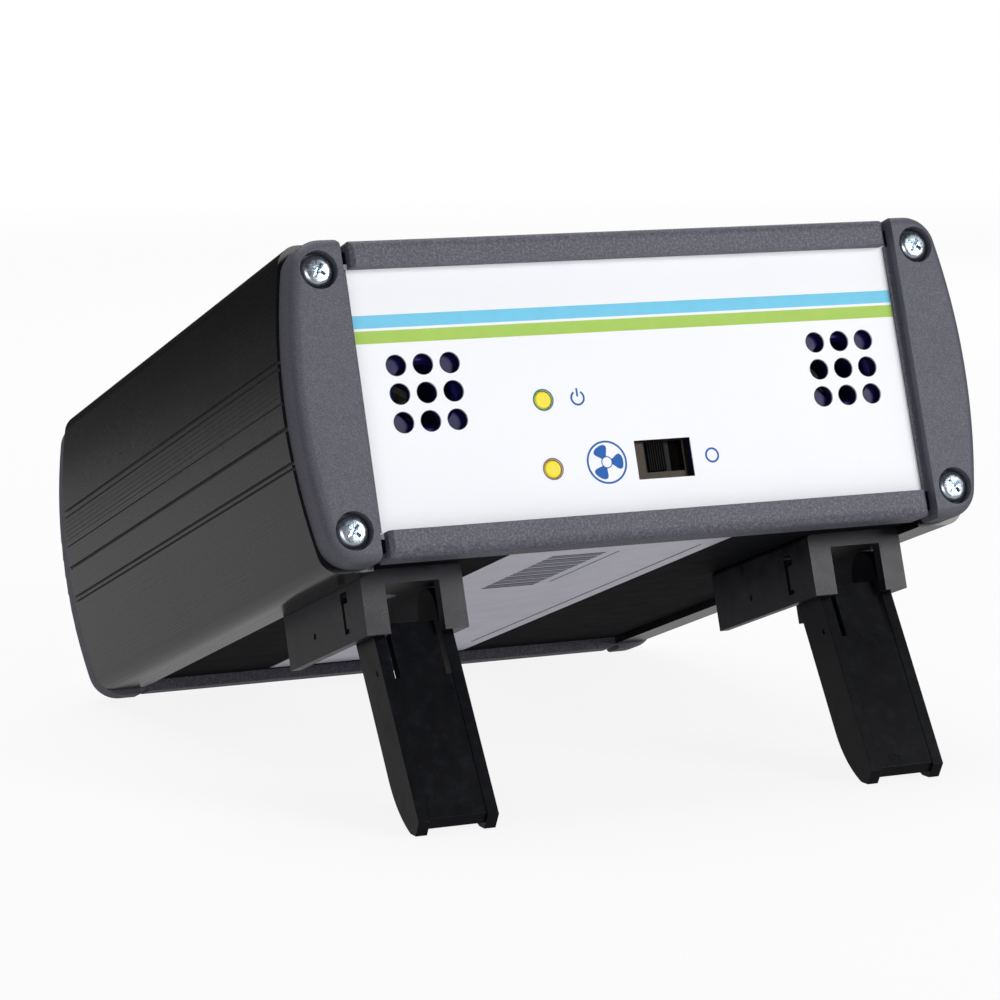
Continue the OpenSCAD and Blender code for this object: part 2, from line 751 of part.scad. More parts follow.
module foot_screws() stand() color("silver") at_foot_screws() translate([0, 0, -foot_roof]) {
    difference() {
        cylinder(r1 = 2 * foot_screw_r, r2 = foot_screw_r, h = foot_screw_r);
        for (a = [0, 90]) rotate(a) translate([0, 0, 0.3])
            cube([2.6, 0.6, 1.8], center = true);
    }
    translate([0, 0, foot_screw_r / 2]) cylinder(r = foot_screw_r, h = foot_roof + wall + 0.5);
}

// ---- nozzles and emitters -------------------------------------------------

module nozzle(side) translate([side * vent_x, 0, 0]) difference() {
    union() {
        rod(0, vent_z, panel_back, panel_back + nozzle_len, nozzle_r);
        block([-pedestal[0] / 2, pedestal_y, board_top],
            [pedestal[0] / 2, pedestal_y + pedestal[1], vent_z]);
    }
    rod(0, vent_z, panel_back - cut, panel_back + nozzle_len + cut, nozzle_bore_r);
    taper(0, vent_z, panel_back - 0.01, panel_back + 0.6, nozzle_bore_r + 0.6, nozzle_bore_r);
    for (y = nozzle_screw_y) translate([0, pedestal_y + y, board_top - cut])
        cylinder(r = 1.25, h = cut + 4.4);
}

module left_nozzle() stand() color("#2b2a86") nozzle(-1);

module right_nozzle() stand() color("#2b2a86") nozzle(1);

module nozzle_screws() stand() color("silver")
    for (sx = [-1, 1], y = nozzle_screw_y)
        translate([sx * vent_x, pedestal_y + y, board_top - board_t]) rotate([90, 0, 0])
            pan_screw(1.25, 2.4, 1.6, board_t + 4);

// Ring with three spokes that centres the emitter pin in its nozzle
module emitter_holder(side) translate([side * vent_x, 0, vent_z]) difference() {
    union() {
        difference() {
            rod(0, 0, holder_y, holder_y + holder_t, nozzle_bore_r);
            rod(0, 0, holder_y - cut, holder_y + holder_t + cut, nozzle_bore_r - 1.1);
        }
        rod(0, 0, holder_y, holder_y + holder_t, 3 * emitter_r);
        for (a = [90, 210, 330]) rotate([0, a, 0])
            block([0, holder_y, -0.5], [nozzle_bore_r - 0.5, holder_y + holder_t, 0.5]);
    }
    rod(0, 0, holder_y - cut, holder_y + holder_t + cut, emitter_r);
}

module left_emitter_holder() stand() color("#e8e4d8") emitter_holder(-1);

module right_emitter_holder() stand() color("#e8e4d8") emitter_holder(1);

module emitter_pin(side) {
    rod(side * vent_x, vent_z, emitter_front, emitter_back, emitter_r);
    taper(side * vent_x, vent_z, emitter_front - emitter_point, emitter_front, 0.02, emitter_r);
}

module left_emitter_pin() stand() color("#c9ccd1") emitter_pin(-1);

module right_emitter_pin() stand() color("#c9ccd1") emitter_pin(1);

module high_voltage_module() stand() color("#1a1a1c") {
    r = 2;
    translate([-module_size[0] / 2, module_y, board_top]) linear_extrude(module_size[2]) {
        translate([r, 0]) square([module_size[0] - 2 * r, module_size[1]]);
        translate([0, r]) square([module_size[0], module_size[1] - 2 * r]);
        for (x = [r, module_size[0] - r], y = [r, module_size[1] - r])
            translate([x, y]) circle(r, $fn = 32);
    }
}

// From the module's front face round to the back of an emitter pin
module high_voltage_lead(side) lead([
    [side * module_lead[0], module_y, board_top + module_lead[1]],
    [side * (module_lead[0] + 0.5), module_y - 4, board_top + module_lead[1] + 0.2],
    [side * (module_lead[0] + 5), module_y - 7.5, vent_z - 2.3],
    [side * (vent_x - 6), module_y - 9, vent_z - 0.4],
    [side * vent_x, module_y - 12, vent_z], [side * vent_x, emitter_back, vent_z]
], lead_r);

module left_high_voltage_lead() stand() color("#b3261e") high_voltage_lead(-1);

module right_high_voltage_lead() stand() color("#f1efe8") high_voltage_lead(1);

// ---- boards and what they carry ------------------------------------------

module main_board() stand() color("#1f6b3a") difference() {
    block([-board_half, board_y, board_top - board_t], [board_half, board_y + board_len, board_top]);
    for (sx = [-1, 1], y = nozzle_screw_y)
        translate([sx * vent_x, pedestal_y + y, board_top - board_t - cut])
            cylinder(r = 1.4, h = board_t + 2 * cut);
}

module control_board() stand() color("#1f6b3a") difference() {
    block([control_x - control_half, control_y, control_z[0]],
        [control_x + control_half, control_y + board_t, control_z[1]]);
    at_studs() rod(0, 0, control_y - cut, control_y + board_t + cut, stud_r + 0.1);
}

module board_header() stand() color("#18181a") {
    y = control_y + board_t;
    block([control_x - 8, y, board_top + 0.2], [control_x + 8, y + 2.5, board_top + 2.7]);
    for (i = [0:5]) translate([control_x - 6.35 + i * 2.54, 0, 0]) {
        block([-0.3, y + 2.5, board_top + 1.1], [0.3, board_y + 5, board_top + 1.7]);
        block([-0.3, board_y + 4.4, board_top], [0.3, board_y + 5, board_top + 1.7]);
    }
}

module board_spacers() stand() color("#e9e9ea") at_studs() difference() {
    rod(0, 0, panel_back, control_y, 2 * stud_r);
    rod(0, 0, panel_back - cut, control_y + cut, stud_r + 0.05);
}

module board_nuts() stand() color("silver") at_studs() difference() {
    translate([0, control_y + board_t, 0]) rotate([-90, 0, 0]) cylinder(r = 2.9, h = 2, $fn = 6);
    rod(0, 0, control_y, control_y + board_t + 2 + cut, stud_r);
}

module on_board(place) translate([place[0] * board_half, board_y + place[1] * board_len, board_top])
    children();

module capacitors() stand() color("#22305e") for (c = cap_places) on_board(c) difference() {
    cylinder(r = c[2], h = c[3]);
    translate([0, 0, 1.6]) difference() {
        cylinder(r = c[2] + cut, h = 0.8);
        cylinder(r = c[2] - 0.3, h = 0.8);
    }
}

module transformer() stand() color("#8a5a1e") on_board(transformer_place) {
    x = transformer_size[0] / 2;
    y = transformer_size[1] / 2;
    z = transformer_size[2];
    block([-x, -y, 0], [x, y, 3]);
    block([-x, 3 - y, 3], [x, y - 3, z]);
    block([3 - x, -y, 3.5], [x - 3, y, z - 1.5]);
}

// Pin socket on the main board, open to the rear
module socket(x) translate([x, socket_y, board_top]) {
    difference() {
        block([-4, 0, 0], [4, 6, 5.6]);
        block([-3.2, 2.4, 0.8], [3.2, 6 + cut, 4.8]);
    }
    for (s = [-1, 1]) translate([1.25 * s, 0, 2.8]) block([-0.3, 2, -0.3], [0.3, 3.6, 0.3]);
}

module fan_socket() stand() color("#efece0") socket(fan_socket_x);

module power_socket() stand() color("#efece0") socket(power_socket_x);

// Leads with their plugs pushed into the sockets
module plug_lead(x, path) {
    difference() {
        block([x - 3, socket_y + 2.6, board_top + 1], [x + 3, socket_y + 9, board_top + 4.6]);
        for (s = [-1, 1]) translate([x + 1.25 * s, 0, board_top + 2.8])
            block([-0.4, socket_y + 2, -0.4], [0.4, socket_y + 4.5, 0.4]);
    }
    lead(concat([[x, socket_y + 8.5, board_top + 2.8]], path), 1.1);
}

module fan_lead() stand() color("#b02a20") plug_lead(fan_socket_x, [
    [fan_socket_x, socket_y + 12, board_top + 2.8], [fan_socket_x + 0.5, socket_y + 17, board_top + 1],
    [fan_socket_x + 4, fan_y + 6, -fan_pitch / 2],
    [-fan_pitch / 2 - fan_corner, fan_y + 8, -fan_pitch / 2]]);

module power_lead() stand() color("#1d1d1f") plug_lead(power_socket_x, [
    [power_socket_x, socket_y + 12, board_top + 3], [power_socket_x + 0.5, socket_y + 17, board_top + 5],
    [inlet_x, socket_y + 21, inlet_z - 1], [inlet_x, rear_face - inlet_len, inlet_z]]);

// ---- lamps and slide switch ----------------------------------------------

module lamp(z) translate([-lamp_x, 0, z]) {
    rotate([-90, 0, 0]) rotate_extrude() {
        // lens flush with the panel, with a soft edge
        translate([0, lens_edge]) square([lamp_r, 5.3 - lens_edge]);
        square([lamp_r - lens_edge, 1]);
        translate([lamp_r - lens_edge, lens_edge]) circle(lens_edge, $fn = 24);
        translate([0, 4.3]) square([lamp_r + 0.35, 1]);
    }
    for (s = [-1, 1]) block([s * 0.9 - 0.25, 5.2, -0.25], [s * 0.9 + 0.25, control_y, 0.25]);
}

module power_lamp() stand() color("#f5e12a") lamp(power_lamp_z);

module fan_lamp() stand() color("#f5e12a") lamp(fan_lamp_z);

module switch_case() stand() color("#8b8880") translate([switch_x, 0, switch_z]) difference() {
    block([-switch_case_w / 2, switch_face, -switch_case_h / 2],
        [switch_case_w / 2, control_y - base_t, switch_case_h / 2]);
    block([case_t - switch_case_w / 2, switch_face + case_t, case_t - switch_case_h / 2],
        [switch_case_w / 2 - case_t, control_y, switch_case_h / 2 - case_t]);
    translate([slot_dx, 0, slot_dz]) block([-switch_slot_w / 2, switch_face - cut, -switch_slot_h / 2],
        [switch_slot_w / 2, switch_face + 2 * case_t, switch_slot_h / 2]);
}

module switch_base() stand() color("#3a2c20") translate([switch_x, 0, switch_z])
    block([-switch_case_w / 2, control_y - base_t, -switch_case_h / 2],
        [switch_case_w / 2, control_y, switch_case_h / 2]);

module switch_slider() stand() color("#151517") {
    x = switch_x + slot_dx - switch_slot_w / 2 + knob_gap;
    top = switch_face - knob_out;
    translate([x, 0, switch_z + slot_dz]) difference() {
        union() {
            block([0, top, -knob_h / 2], [knob_w, switch_face + case_t + 0.5, knob_h / 2]);
            block([knob_w / 2 - slider_w / 2, switch_face + case_t + 0.1, -switch_slot_h / 2 - 0.35],
                [knob_w / 2 + slider_w / 2, switch_face + case_t + 2, switch_slot_h / 2 + 0.35]);
        }
        // grip ribs across the knob
        for (i = [0:6]) translate([0.3 + i * (knob_w - 0.6) / 6, 0, 0])
            block([-0.1, top - cut, -knob_h], [0.1, top + 0.3, knob_h]);
    }
}

// ---- fan ------------------------------------------------------------------

module at_fan() translate([0, fan_y, 0]) children();

module at_fan_screws() {
    for (sx = [-1, 1], sz = [-1, 1])
        translate([sx * fan_pitch / 2, 0, sz * fan_pitch / 2]) children();
}

module fan_frame() stand() color("#232326") at_fan() {
    corner = fan_corner;
    difference() {
        union() {
            for (y = [0, fan_d - flange_t]) along_y(y, y + flange_t) {
                square([fan_w, fan_w - 2 * corner], center = true);
                square([fan_w - 2 * corner, fan_w], center = true);
                for (sx = [-1, 1], sz = [-1, 1])
                    translate([sx, sz] * (fan_w / 2 - corner)) circle(corner);
            }
            rod(0, 0, 0, fan_d, fan_bore_r + 0.9);
            at_fan_screws() rod(0, 0, 0, fan_d, corner);
        }
        rod(0, 0, -cut, fan_d + cut, fan_bore_r);
        at_fan_screws() rod(0, 0, -cut, fan_d + cut, fan_screw_r + 0.1);
    }
    // motor seat on three struts, with the bearing tube
    difference() {
        union() {
            rod(0, 0, 0, motor_t, motor_r);
            for (a = [90, 210, 330]) rotate([0, a, 0])
                block([0, 0, -strut_w / 2], [fan_bore_r + 0.4, motor_t, strut_w / 2]);
            rod(0, 0, 0, motor_t + sleeve_len + 1, tube_r);
        }
        rod(0, 0, motor_t, motor_t + sleeve_len + 2 * cut, sleeve_r);
    }
}

module fan_bearing() stand() color("#c9a14a") at_fan() difference() {
    rod(0, 0, motor_t, motor_t + sleeve_len, sleeve_r);
    rod(0, 0, motor_t - cut, motor_t + sleeve_len + cut, shaft_r + run_gap);
}

module fan_stator() stand() color("#9b5a2e") at_fan() difference() {
    rod(0, 0, motor_t + 1.6, motor_t + sleeve_len, stator_r);
    rod(0, 0, 0, fan_d, tube_r);
    for (a = [0, 90]) rotate([0, a, 0]) {
        block([5, 0, -0.8], [stator_r + cut, fan_d, 0.8]);
        block([-stator_r - cut, 0, -0.8], [-5, fan_d, 0.8]);
    }
}

// One cambered blade: a slice of a thin tube that lies along the radius
module blade() intersection() {
    difference() {
        rod(0, 0, blade_y0, blade_y0 + blade_h, fan_bore_r - tip_gap);
        rod(0, 0, blade_y0 - cut, blade_y0 + blade_h + cut, hub_r - 0.3);
    }
    block([0, blade_y0, -blade_half - 2], [fan_bore_r, blade_y0 + blade_h, blade_half + 2]);
    chord = norm([2 * blade_half, blade_h]);
    offset = sqrt(pow(blade_bend_r, 2) - pow(chord / 2, 2));
    translate([0, blade_y0 + blade_h / 2 - offset * 2 * blade_half / chord, offset * blade_h / chord])
        rotate([0, 90, 0]) difference() {
            cylinder(r = blade_bend_r, h = fan_w, $fn = 96);
            translate([0, 0, -cut]) cylinder(r = blade_bend_r - blade_t, h = fan_w + 2 * cut, $fn = 96);
        }
}

module fan_impeller() stand() color("#2c2c30") at_fan() {
    difference() {
        rod(0, 0, hub_y0, hub_y1, hub_r);
        rod(0, 0, hub_y0 - cut, hub_y1 - hub_cap, cup_r);
        rod(0, 0, 0, fan_d, shaft_r);
    }
    difference() {
        rod(0, 0, hub_y1 - hub_cap - boss_len, hub_y1 - hub_cap / 2, 2.6);
        rod(0, 0, 0, fan_d, shaft_r);
    }
    for (i = [0:fan_blades - 1]) rotate([0, i * 360 / fan_blades, 0]) blade();
}

module fan_shaft() stand() color("#d0d2d6") at_fan()
    rod(0, 0, motor_t + 0.4, hub_y1 - 0.3, shaft_r);

module fan_screws() stand() color("silver") at_fan_screws() translate([0, rear_face, 0])
    mirror([0, 1, 0]) pan_screw(fan_screw_r, 2.7, 1.9, panel_t + fan_d + nut_h + screw_over);

module fan_nuts() stand() color("silver") at_fan_screws() difference() {
    translate([0, fan_y - nut_h, 0]) rotate([-90, 0, 0]) cylinder(r = 3.1, h = nut_h, $fn = 6);
    rod(0, 0, fan_y - nut_h - cut, fan_y + cut, fan_screw_r);
}

// ---- power inlet ----------------------------------------------------------

module dc_jack() stand() color("#161618") translate([inlet_x, 0, inlet_z]) difference() {
    union() {
        rod(0, 0, rear_face, rear_face + inlet_flange_t, inlet_flange_r);
        rod(0, 0, rear_face - inlet_len, rear_face + inlet_flange_t, inlet_r);
    }
    rod(0, 0, rear_face + inlet_flange_t - inlet_depth, rear_face + inlet_flange_t + cut, inlet_bore_r);
    taper(0, 0, rear_face + inlet_flange_t - 0.5, rear_face + inlet_flange_t + 0.01,
        inlet_bore_r, inlet_bore_r + 0.5);
}

module dc_jack_pin() stand() color("#c9ccd1") translate([inlet_x, 0, inlet_z]) {
    y = rear_face + inlet_flange_t - inlet_depth;
    rod(0, 0, y, y + inlet_pin_len, inlet_pin_r);
}

module dc_jack_nut() stand() color("silver") translate([inlet_x, 0, inlet_z]) difference() {
    translate([0, rear_panel_in - 2, 0]) rotate([-90, 0, 0]) cylinder(r = 5.8, h = 2, $fn = 6);
    rod(0, 0, rear_panel_in - 2 - cut, rear_panel_in + cut, inlet_r);
}

body_shell();
belly_plate();
front_bezel();
rear_bezel();
front_panel();
front_overlay();
rear_panel();
front_seal();
rear_seal();
front_screws();
rear_screws();
underside_label();
left_foot_block();
right_foot_block();
left_leg();
right_leg();
foot_screws();
left_nozzle();
right_nozzle();
nozzle_screws();
left_emitter_holder();
right_emitter_holder();
left_emitter_pin();
right_emitter_pin();
high_voltage_module();
left_high_voltage_lead();
right_high_voltage_lead();
main_board();
control_board();
board_header();
board_spacers();
board_nuts();
capacitors();
transformer();
fan_socket();
power_socket();
fan_lead();
power_lead();
power_lamp();
fan_lamp();
switch_case();
switch_base();
switch_slider();
fan_frame();
fan_bearing();
fan_stator();
fan_impeller();
fan_shaft();
fan_screws();
fan_nuts();
dc_jack();
dc_jack_pin();
dc_jack_nut();
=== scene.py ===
"""Dresses the bench ionizing blower: finishes, soft mouldings, screws, printed front and a plain studio."""

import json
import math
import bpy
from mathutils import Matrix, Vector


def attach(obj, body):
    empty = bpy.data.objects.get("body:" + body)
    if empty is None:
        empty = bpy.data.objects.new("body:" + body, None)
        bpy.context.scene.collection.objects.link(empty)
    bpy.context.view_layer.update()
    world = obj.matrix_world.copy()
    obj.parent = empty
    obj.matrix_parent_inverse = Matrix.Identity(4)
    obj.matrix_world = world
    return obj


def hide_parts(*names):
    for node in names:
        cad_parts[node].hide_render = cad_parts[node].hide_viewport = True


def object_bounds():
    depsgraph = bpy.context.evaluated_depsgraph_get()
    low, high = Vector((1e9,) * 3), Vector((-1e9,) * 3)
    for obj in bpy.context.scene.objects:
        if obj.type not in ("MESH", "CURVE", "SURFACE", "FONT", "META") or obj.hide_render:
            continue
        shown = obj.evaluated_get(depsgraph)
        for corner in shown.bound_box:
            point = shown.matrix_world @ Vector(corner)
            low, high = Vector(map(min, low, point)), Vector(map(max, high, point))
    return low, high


bl_info = {
    "name": "Ionizing Blower Dressing",
    "version": (1, 0, 0),
    "blender": (4, 5, 0),
    "location": "View3D > Sidebar > Blower",
    "description": "Finishes, softened mouldings, screws and printed front of a bench ionizing blower",
    "category": "Object",
}

import bmesh
import bpy
from bpy.props import FloatProperty, FloatVectorProperty, IntProperty, PointerProperty
from mathutils import Matrix, Vector

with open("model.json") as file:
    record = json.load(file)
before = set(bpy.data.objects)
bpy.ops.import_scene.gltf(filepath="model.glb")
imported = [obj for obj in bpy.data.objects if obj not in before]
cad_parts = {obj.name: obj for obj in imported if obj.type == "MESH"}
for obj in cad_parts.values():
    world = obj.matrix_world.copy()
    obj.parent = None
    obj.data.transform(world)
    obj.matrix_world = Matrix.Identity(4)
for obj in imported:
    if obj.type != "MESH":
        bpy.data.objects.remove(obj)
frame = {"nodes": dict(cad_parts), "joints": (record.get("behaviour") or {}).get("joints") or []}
CAD_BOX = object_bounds()
NODES = frame["nodes"]
MM = 0.001


# ---- the housing's own frame ----------------------------------------------


def joint(name):
    return next(j for j in frame["joints"] if j["name"] == name)


RIGHT = Vector((1, 0, 0))
BACK = Vector(joint("fan_spin")["axis"]).normalized()
UP = RIGHT.cross(BACK)


def reach(node, direction):
    """The least and the greatest distance of a CAD node's points along a direction."""
    along = [v.co.dot(direction) for v in NODES[node].data.vertices]
    return min(along), max(along)


def housing_frame():
    """Matrix from the housing's frame to the row's: origin at the centre of the front panel's face, X right,
    Y into the housing, Z up."""
    face = reach("front_overlay", BACK)[0]
    low, high = reach("front_overlay", UP)
    matrix = Matrix((RIGHT, BACK, UP)).transposed().to_4x4()
    matrix.translation = BACK * face + UP * (low + high) / 2
    return matrix


HOUSING = housing_frame()
TILT = math.atan2(-BACK.z, BACK.y)


def inside(node):
    """A CAD node's box in the housing's frame: lowest and highest corner."""
    back = HOUSING.inverted()
    points = [back @ v.co for v in NODES[node].data.vertices]
    low = Vector([min(p[i] for p in points) for i in range(3)])
    high = Vector([max(p[i] for p in points) for i in range(3)])
    return low, high


def islands(node):
    """The boxes, in the housing's frame, of the separate solids in one CAD node."""
    bm = bmesh.new()
    bm.from_mesh(NODES[node].data)
    bmesh.ops.remove_doubles(bm, verts=bm.verts, dist=1e-7)
    back, seen, boxes = HOUSING.inverted(), set(), []
    for start in bm.verts:
        if start in seen:
            continue
        group, todo = [], [start]
        seen.add(start)
        while todo:
            v = todo.pop()
            group.append(back @ v.co)
            for e in v.link_edges:
                o = e.other_vert(v)
                if o not in seen:
                    seen.add(o)
                    todo.append(o)
        low = Vector([min(p[i] for p in group) for i in range(3)])
        high = Vector([max(p[i] for p in group) for i in range(3)])
        boxes.append((low, high))
    bm.free()
    return boxes


# ---- colours --------------------------------------------------------------


def srgb(text):
    """Linear red, green and blue of a hex colour."""
    parts = [int(text[i : i + 2], 16) / 255 for i in (1, 3, 5)]
    return tuple(p / 12.92 if p <= 0.04045 else ((p + 0.055) / 1.055) ** 2.4 for p in parts)


def colour_property(name, description, text):
    return FloatVectorProperty(
        name=name, description=description, subtype="COLOR", size=3, min=0.0, max=1.0, default=srgb(text)
    )


class BlowerColours(bpy.types.PropertyGroup):
    housing: colour_property("Housing", "Anodised extrusion", "#101113")
    bezel: colour_property("Bezel", "Moulded end bezels", "#50505b")
    # painted glints: this pale colour is laid on the bezels' grain peaks in place of light caught by the
    # texture
    bezel_glint: colour_property("Bezel flecks", "Pale flecks in the bezels' texture", "#a9a9b8")
    feet: colour_property("Foot blocks", "Moulded foot blocks", "#101016")
    legs: colour_property("Legs", "Fold-out legs", "#07080d")
    film: colour_property("Front film", "Printed film on the front panel", "#f6f7fb")
    stripe_upper: colour_property("Upper stripe", "Sky blue stripe", "#7bcdec")
    stripe_lower: colour_property("Lower stripe", "Leaf green stripe", "#abcd63")
    signs: colour_property("Signs", "Blue of the fan sign and the other signs", "#2a63b0")
    lamp: colour_property("Lamps", "Yellow lamp lenses", "#eedb1a")
    nozzle: colour_property("Nozzles", "Deep blue of the outlet nozzles", "#130e4c")
    zinc: colour_property("Screws", "Zinc plating of the screws", "#d3dfe9")


def length_property(name, description, millimetres):
    return FloatProperty(
        name=name, description=description, default=millimetres * MM, min=0.0, subtype="DISTANCE", unit="LENGTH"
    )


class BlowerSizes(bpy.types.PropertyGroup):
    stripe_top: length_property("Stripe top", "From the panel's centre up to the upper stripe's top edge", 14.0)
    stripe_upper: length_property("Upper stripe", "Height of the upper stripe", 2.15)
    stripe_gap: length_property("Stripe gap", "White gap between the stripes", 0.45)
    stripe_lower: length_property("Lower stripe", "Height of the lower stripe", 2.1)
    stripe_end: length_property("Stripe end", "How far the stripes stop short of the film's ends", 0.57)
    ink: length_property("Ink", "How far the print stands on the film", 0.03)
    sign_radius: length_property("Fan sign", "Outer radius of the fan sign's ring", 3.65)
    sign_line: length_property("Sign line", "Line width of the signs", 0.33)
    sign_gap: length_property("Fan sign's place", "From the switch to the centre of the fan sign", 4.35)
    small_sign: length_property("Small signs", "Outer radius of the on and off signs", 1.3)
    on_gap: length_property("On sign's place", "From the power lamp to the centre of the on sign", 4.4)
    off_gap: length_property("Off sign's place", "From the switch to the centre of the off sign", 2.6)
    lamp_ring: length_property("Lamp rings", "Outer radius of the rings printed round the lamps", 1.86)
    lamp_line: length_property("Lamp ring line", "Line width of the rings round the lamps", 0.24)
    bar_side: length_property("Bar pattern's side", "From the label's side to the bar pattern", 10.0)
    bar_length: length_property("Bar length", "Length of the bars on the label", 10.0)
    bar_end: length_property("Bar pattern's end", "From the label's front end to the bar pattern", 6.0)
    moulded_edge: length_property("Moulded edge", "Rounding of the moulded pieces' edges", 0.25)
    screw_turn_seed: IntProperty(
        name="Screw turn seed", description="Seed for how far each screw is turned", default=4
    )


# ---- surfaces -------------------------------------------------------------


class Surface:
    """A procedural material that reads the housing's own coordinates, in metres."""

    def __init__(self, name, rough=0.5, metal=0.0, coat=0.0, spec=0.5):
        self.material = bpy.data.materials.new(name)
        self.material.use_nodes = True
        self.tree = self.material.node_tree
        self.tree.nodes.clear()
        out = self.add("ShaderNodeOutputMaterial")
        self.shader = self.add("ShaderNodeBsdfPrincipled")
        self.link(self.shader.outputs[0], out.inputs[0])
        values = {"Metallic": metal, "Roughness": rough, "IOR": 1.5, "Specular IOR Level": spec,
                  "Coat Weight": coat, "Coat Roughness": 0.1}
        for key, value in values.items():
            self.shader.inputs[key].default_value = value
        place = self.add("ShaderNodeTexCoord").outputs["Object"]
        turn = self.add("ShaderNodeMapping")
        self.link(place, turn.inputs["Vector"])
        turn.inputs["Rotation"].default_value = (TILT, 0, 0)
        turn.inputs["Location"].default_value = -(Matrix.Rotation(TILT, 3, "X") @ HOUSING.translation)
        self.place = turn.outputs["Vector"]
        self.normal = None

    def add(self, kind, **settings):
        node = self.tree.nodes.new(kind)
        for key, value in settings.items():
            setattr(node, key, value)
        return node

    def link(self, start, end):
        self.tree.links.new(start, end)

    def put(self, socket, value):
        """A value or another node's output into a socket."""
        if isinstance(value, bpy.types.NodeSocket):
            self.link(value, socket)
        else:
            socket.default_value = value

    def stretched(self, size):
        """Coordinates measured in grains of the given size, one number or one for each axis, in mm."""
        sizes = size if hasattr(size, "__len__") else (size,) * 3
        scale = self.add("ShaderNodeMapping")
        self.link(self.place, scale.inputs["Vector"])
        scale.inputs["Scale"].default_value = [1 / (s * MM) for s in sizes]
        return scale.outputs["Vector"]

    def noise(self, size, detail=2.0, rough=0.5):
        node = self.add("ShaderNodeTexNoise")
        self.link(self.stretched(size), node.inputs["Vector"])
        node.inputs["Scale"].default_value = 1.0
        node.inputs["Detail"].default_value = detail
        node.inputs["Roughness"].default_value = rough
        return node.outputs["Fac"]

    def cells(self, size, feature="F1"):
        node = self.add("ShaderNodeTexVoronoi", feature=feature)
        self.link(self.stretched(size), node.inputs["Vector"])
        node.inputs["Scale"].default_value = 1.0
        return node.outputs["Distance"]

    def span(self, value, low, high, to_low=0.0, to_high=1.0):
        node = self.add("ShaderNodeMapRange")
        self.link(value, node.inputs["Value"])
        for key, number in (("From Min", low), ("From Max", high), ("To Min", to_low), ("To Max", to_high)):
            node.inputs[key].default_value = number
        return node.outputs["Result"]

    def maths(self, operation, first, second=0.0):
        node = self.add("ShaderNodeMath", operation=operation)
        self.put(node.inputs[0], first)
        self.put(node.inputs[1], second)
        return node.outputs[0]

    def along(self, axis):
        """The distance along one of the housing's axes: 0 is X, 1 is Y and 2 is Z."""
        node = self.add("ShaderNodeSeparateXYZ")
        self.link(self.place, node.inputs[0])
        return node.outputs[axis]

    def blend(self, factor, first, second):
        node = self.add("ShaderNodeMix", data_type="RGBA")
        self.put(node.inputs["Factor"], factor)
        for socket, value in ((node.inputs[6], first), (node.inputs[7], second)):
            self.put(socket, value if isinstance(value, bpy.types.NodeSocket) else (*value, 1.0))
        return node.outputs[2]

    def colour(self, value):
        socket = self.shader.inputs["Base Color"]
        self.put(socket, value if isinstance(value, bpy.types.NodeSocket) else (*value, 1.0))

    def roughness(self, value):
        self.put(self.shader.inputs["Roughness"], value)

    def bump(self, height, depth, strength=1.0):
        """Adds relief of the given depth, in mm, on top of what is there."""
        node = self.add("ShaderNodeBump")
        node.inputs["Strength"].default_value = strength
        node.inputs["Distance"].default_value = depth * MM
        self.link(height, node.inputs["Height"])
        if self.normal is not None:
            self.link(self.normal, node.inputs["Normal"])
        self.normal = node.outputs["Normal"]
        self.link(self.normal, self.shader.inputs["Normal"])


def shaded(colour, share):
    return tuple(max(0.0, min(1.0, c * share)) for c in colour)


def anodised(colours):
    """Black anodised extrusion: satin, with faint die lines along its length."""
    s = Surface("anodised_black", metal=0.15, rough=0.26)
    lines = s.noise((0.18, 60, 0.18), detail=2)
    cloud = s.noise(14, detail=3)
    s.colour(s.blend(s.span(cloud, 0.3, 0.7), shaded(colours.housing, 0.97), shaded(colours.housing, 1.05)))
    s.roughness(s.maths("ADD", s.span(lines, 0.3, 0.7, 0.24, 0.28), s.span(cloud, 0.3, 0.7, -0.006, 0.01)))
    s.bump(lines, 0.0012)
    s.bump(s.noise(0.12, detail=1), 0.0008)
    return s.material


def bezel_plastic(colours):
    """Charcoal moulding with a spark-eroded texture, coarser on the strips than on the lobes, with painted
    shade in its pits and painted glints on its peaks, the glints stronger on the strips.
    """
    s = Surface("bezel_moulding", rough=0.55)
    strip = inside("front_overlay")[1].x
    on_strip = s.maths("LESS_THAN", s.maths("ABSOLUTE", s.along(0)), strip)
    fine, coarse = s.noise(0.16, detail=2, rough=0.6), s.noise(0.42, detail=3, rough=0.75)
    pick = s.add("ShaderNodeMix", data_type="FLOAT")
    for socket, value in zip((pick.inputs[0], pick.inputs[2], pick.inputs[3]), (on_strip, fine, coarse)):
        s.link(value, socket)
    grain = pick.outputs[0]
    # painted glints: pale specks on the grain's high points, twice as strong on the strips
    glint_strength = s.maths("ADD", s.maths("MULTIPLY", on_strip, 0.14), 0.14)
    painted_glints = s.maths("MULTIPLY", s.span(grain, 0.5, 0.72), glint_strength)
    cloud = s.noise(9, detail=3)
    base = s.blend(s.span(cloud, 0.3, 0.7), shaded(colours.bezel, 0.95), shaded(colours.bezel, 1.05))
    # painted shade: the grain's low pits are darkened in place of the shade that falls into them
    painted_pit_shade = s.blend(s.span(grain, 0.48, 0.3), base, shaded(colours.bezel, 0.62))
    s.colour(s.blend(painted_glints, painted_pit_shade, colours.bezel_glint))
    s.roughness(s.span(grain, 0.3, 0.7, 0.68, 0.52))
    s.bump(grain, 0.028)
    return s.material


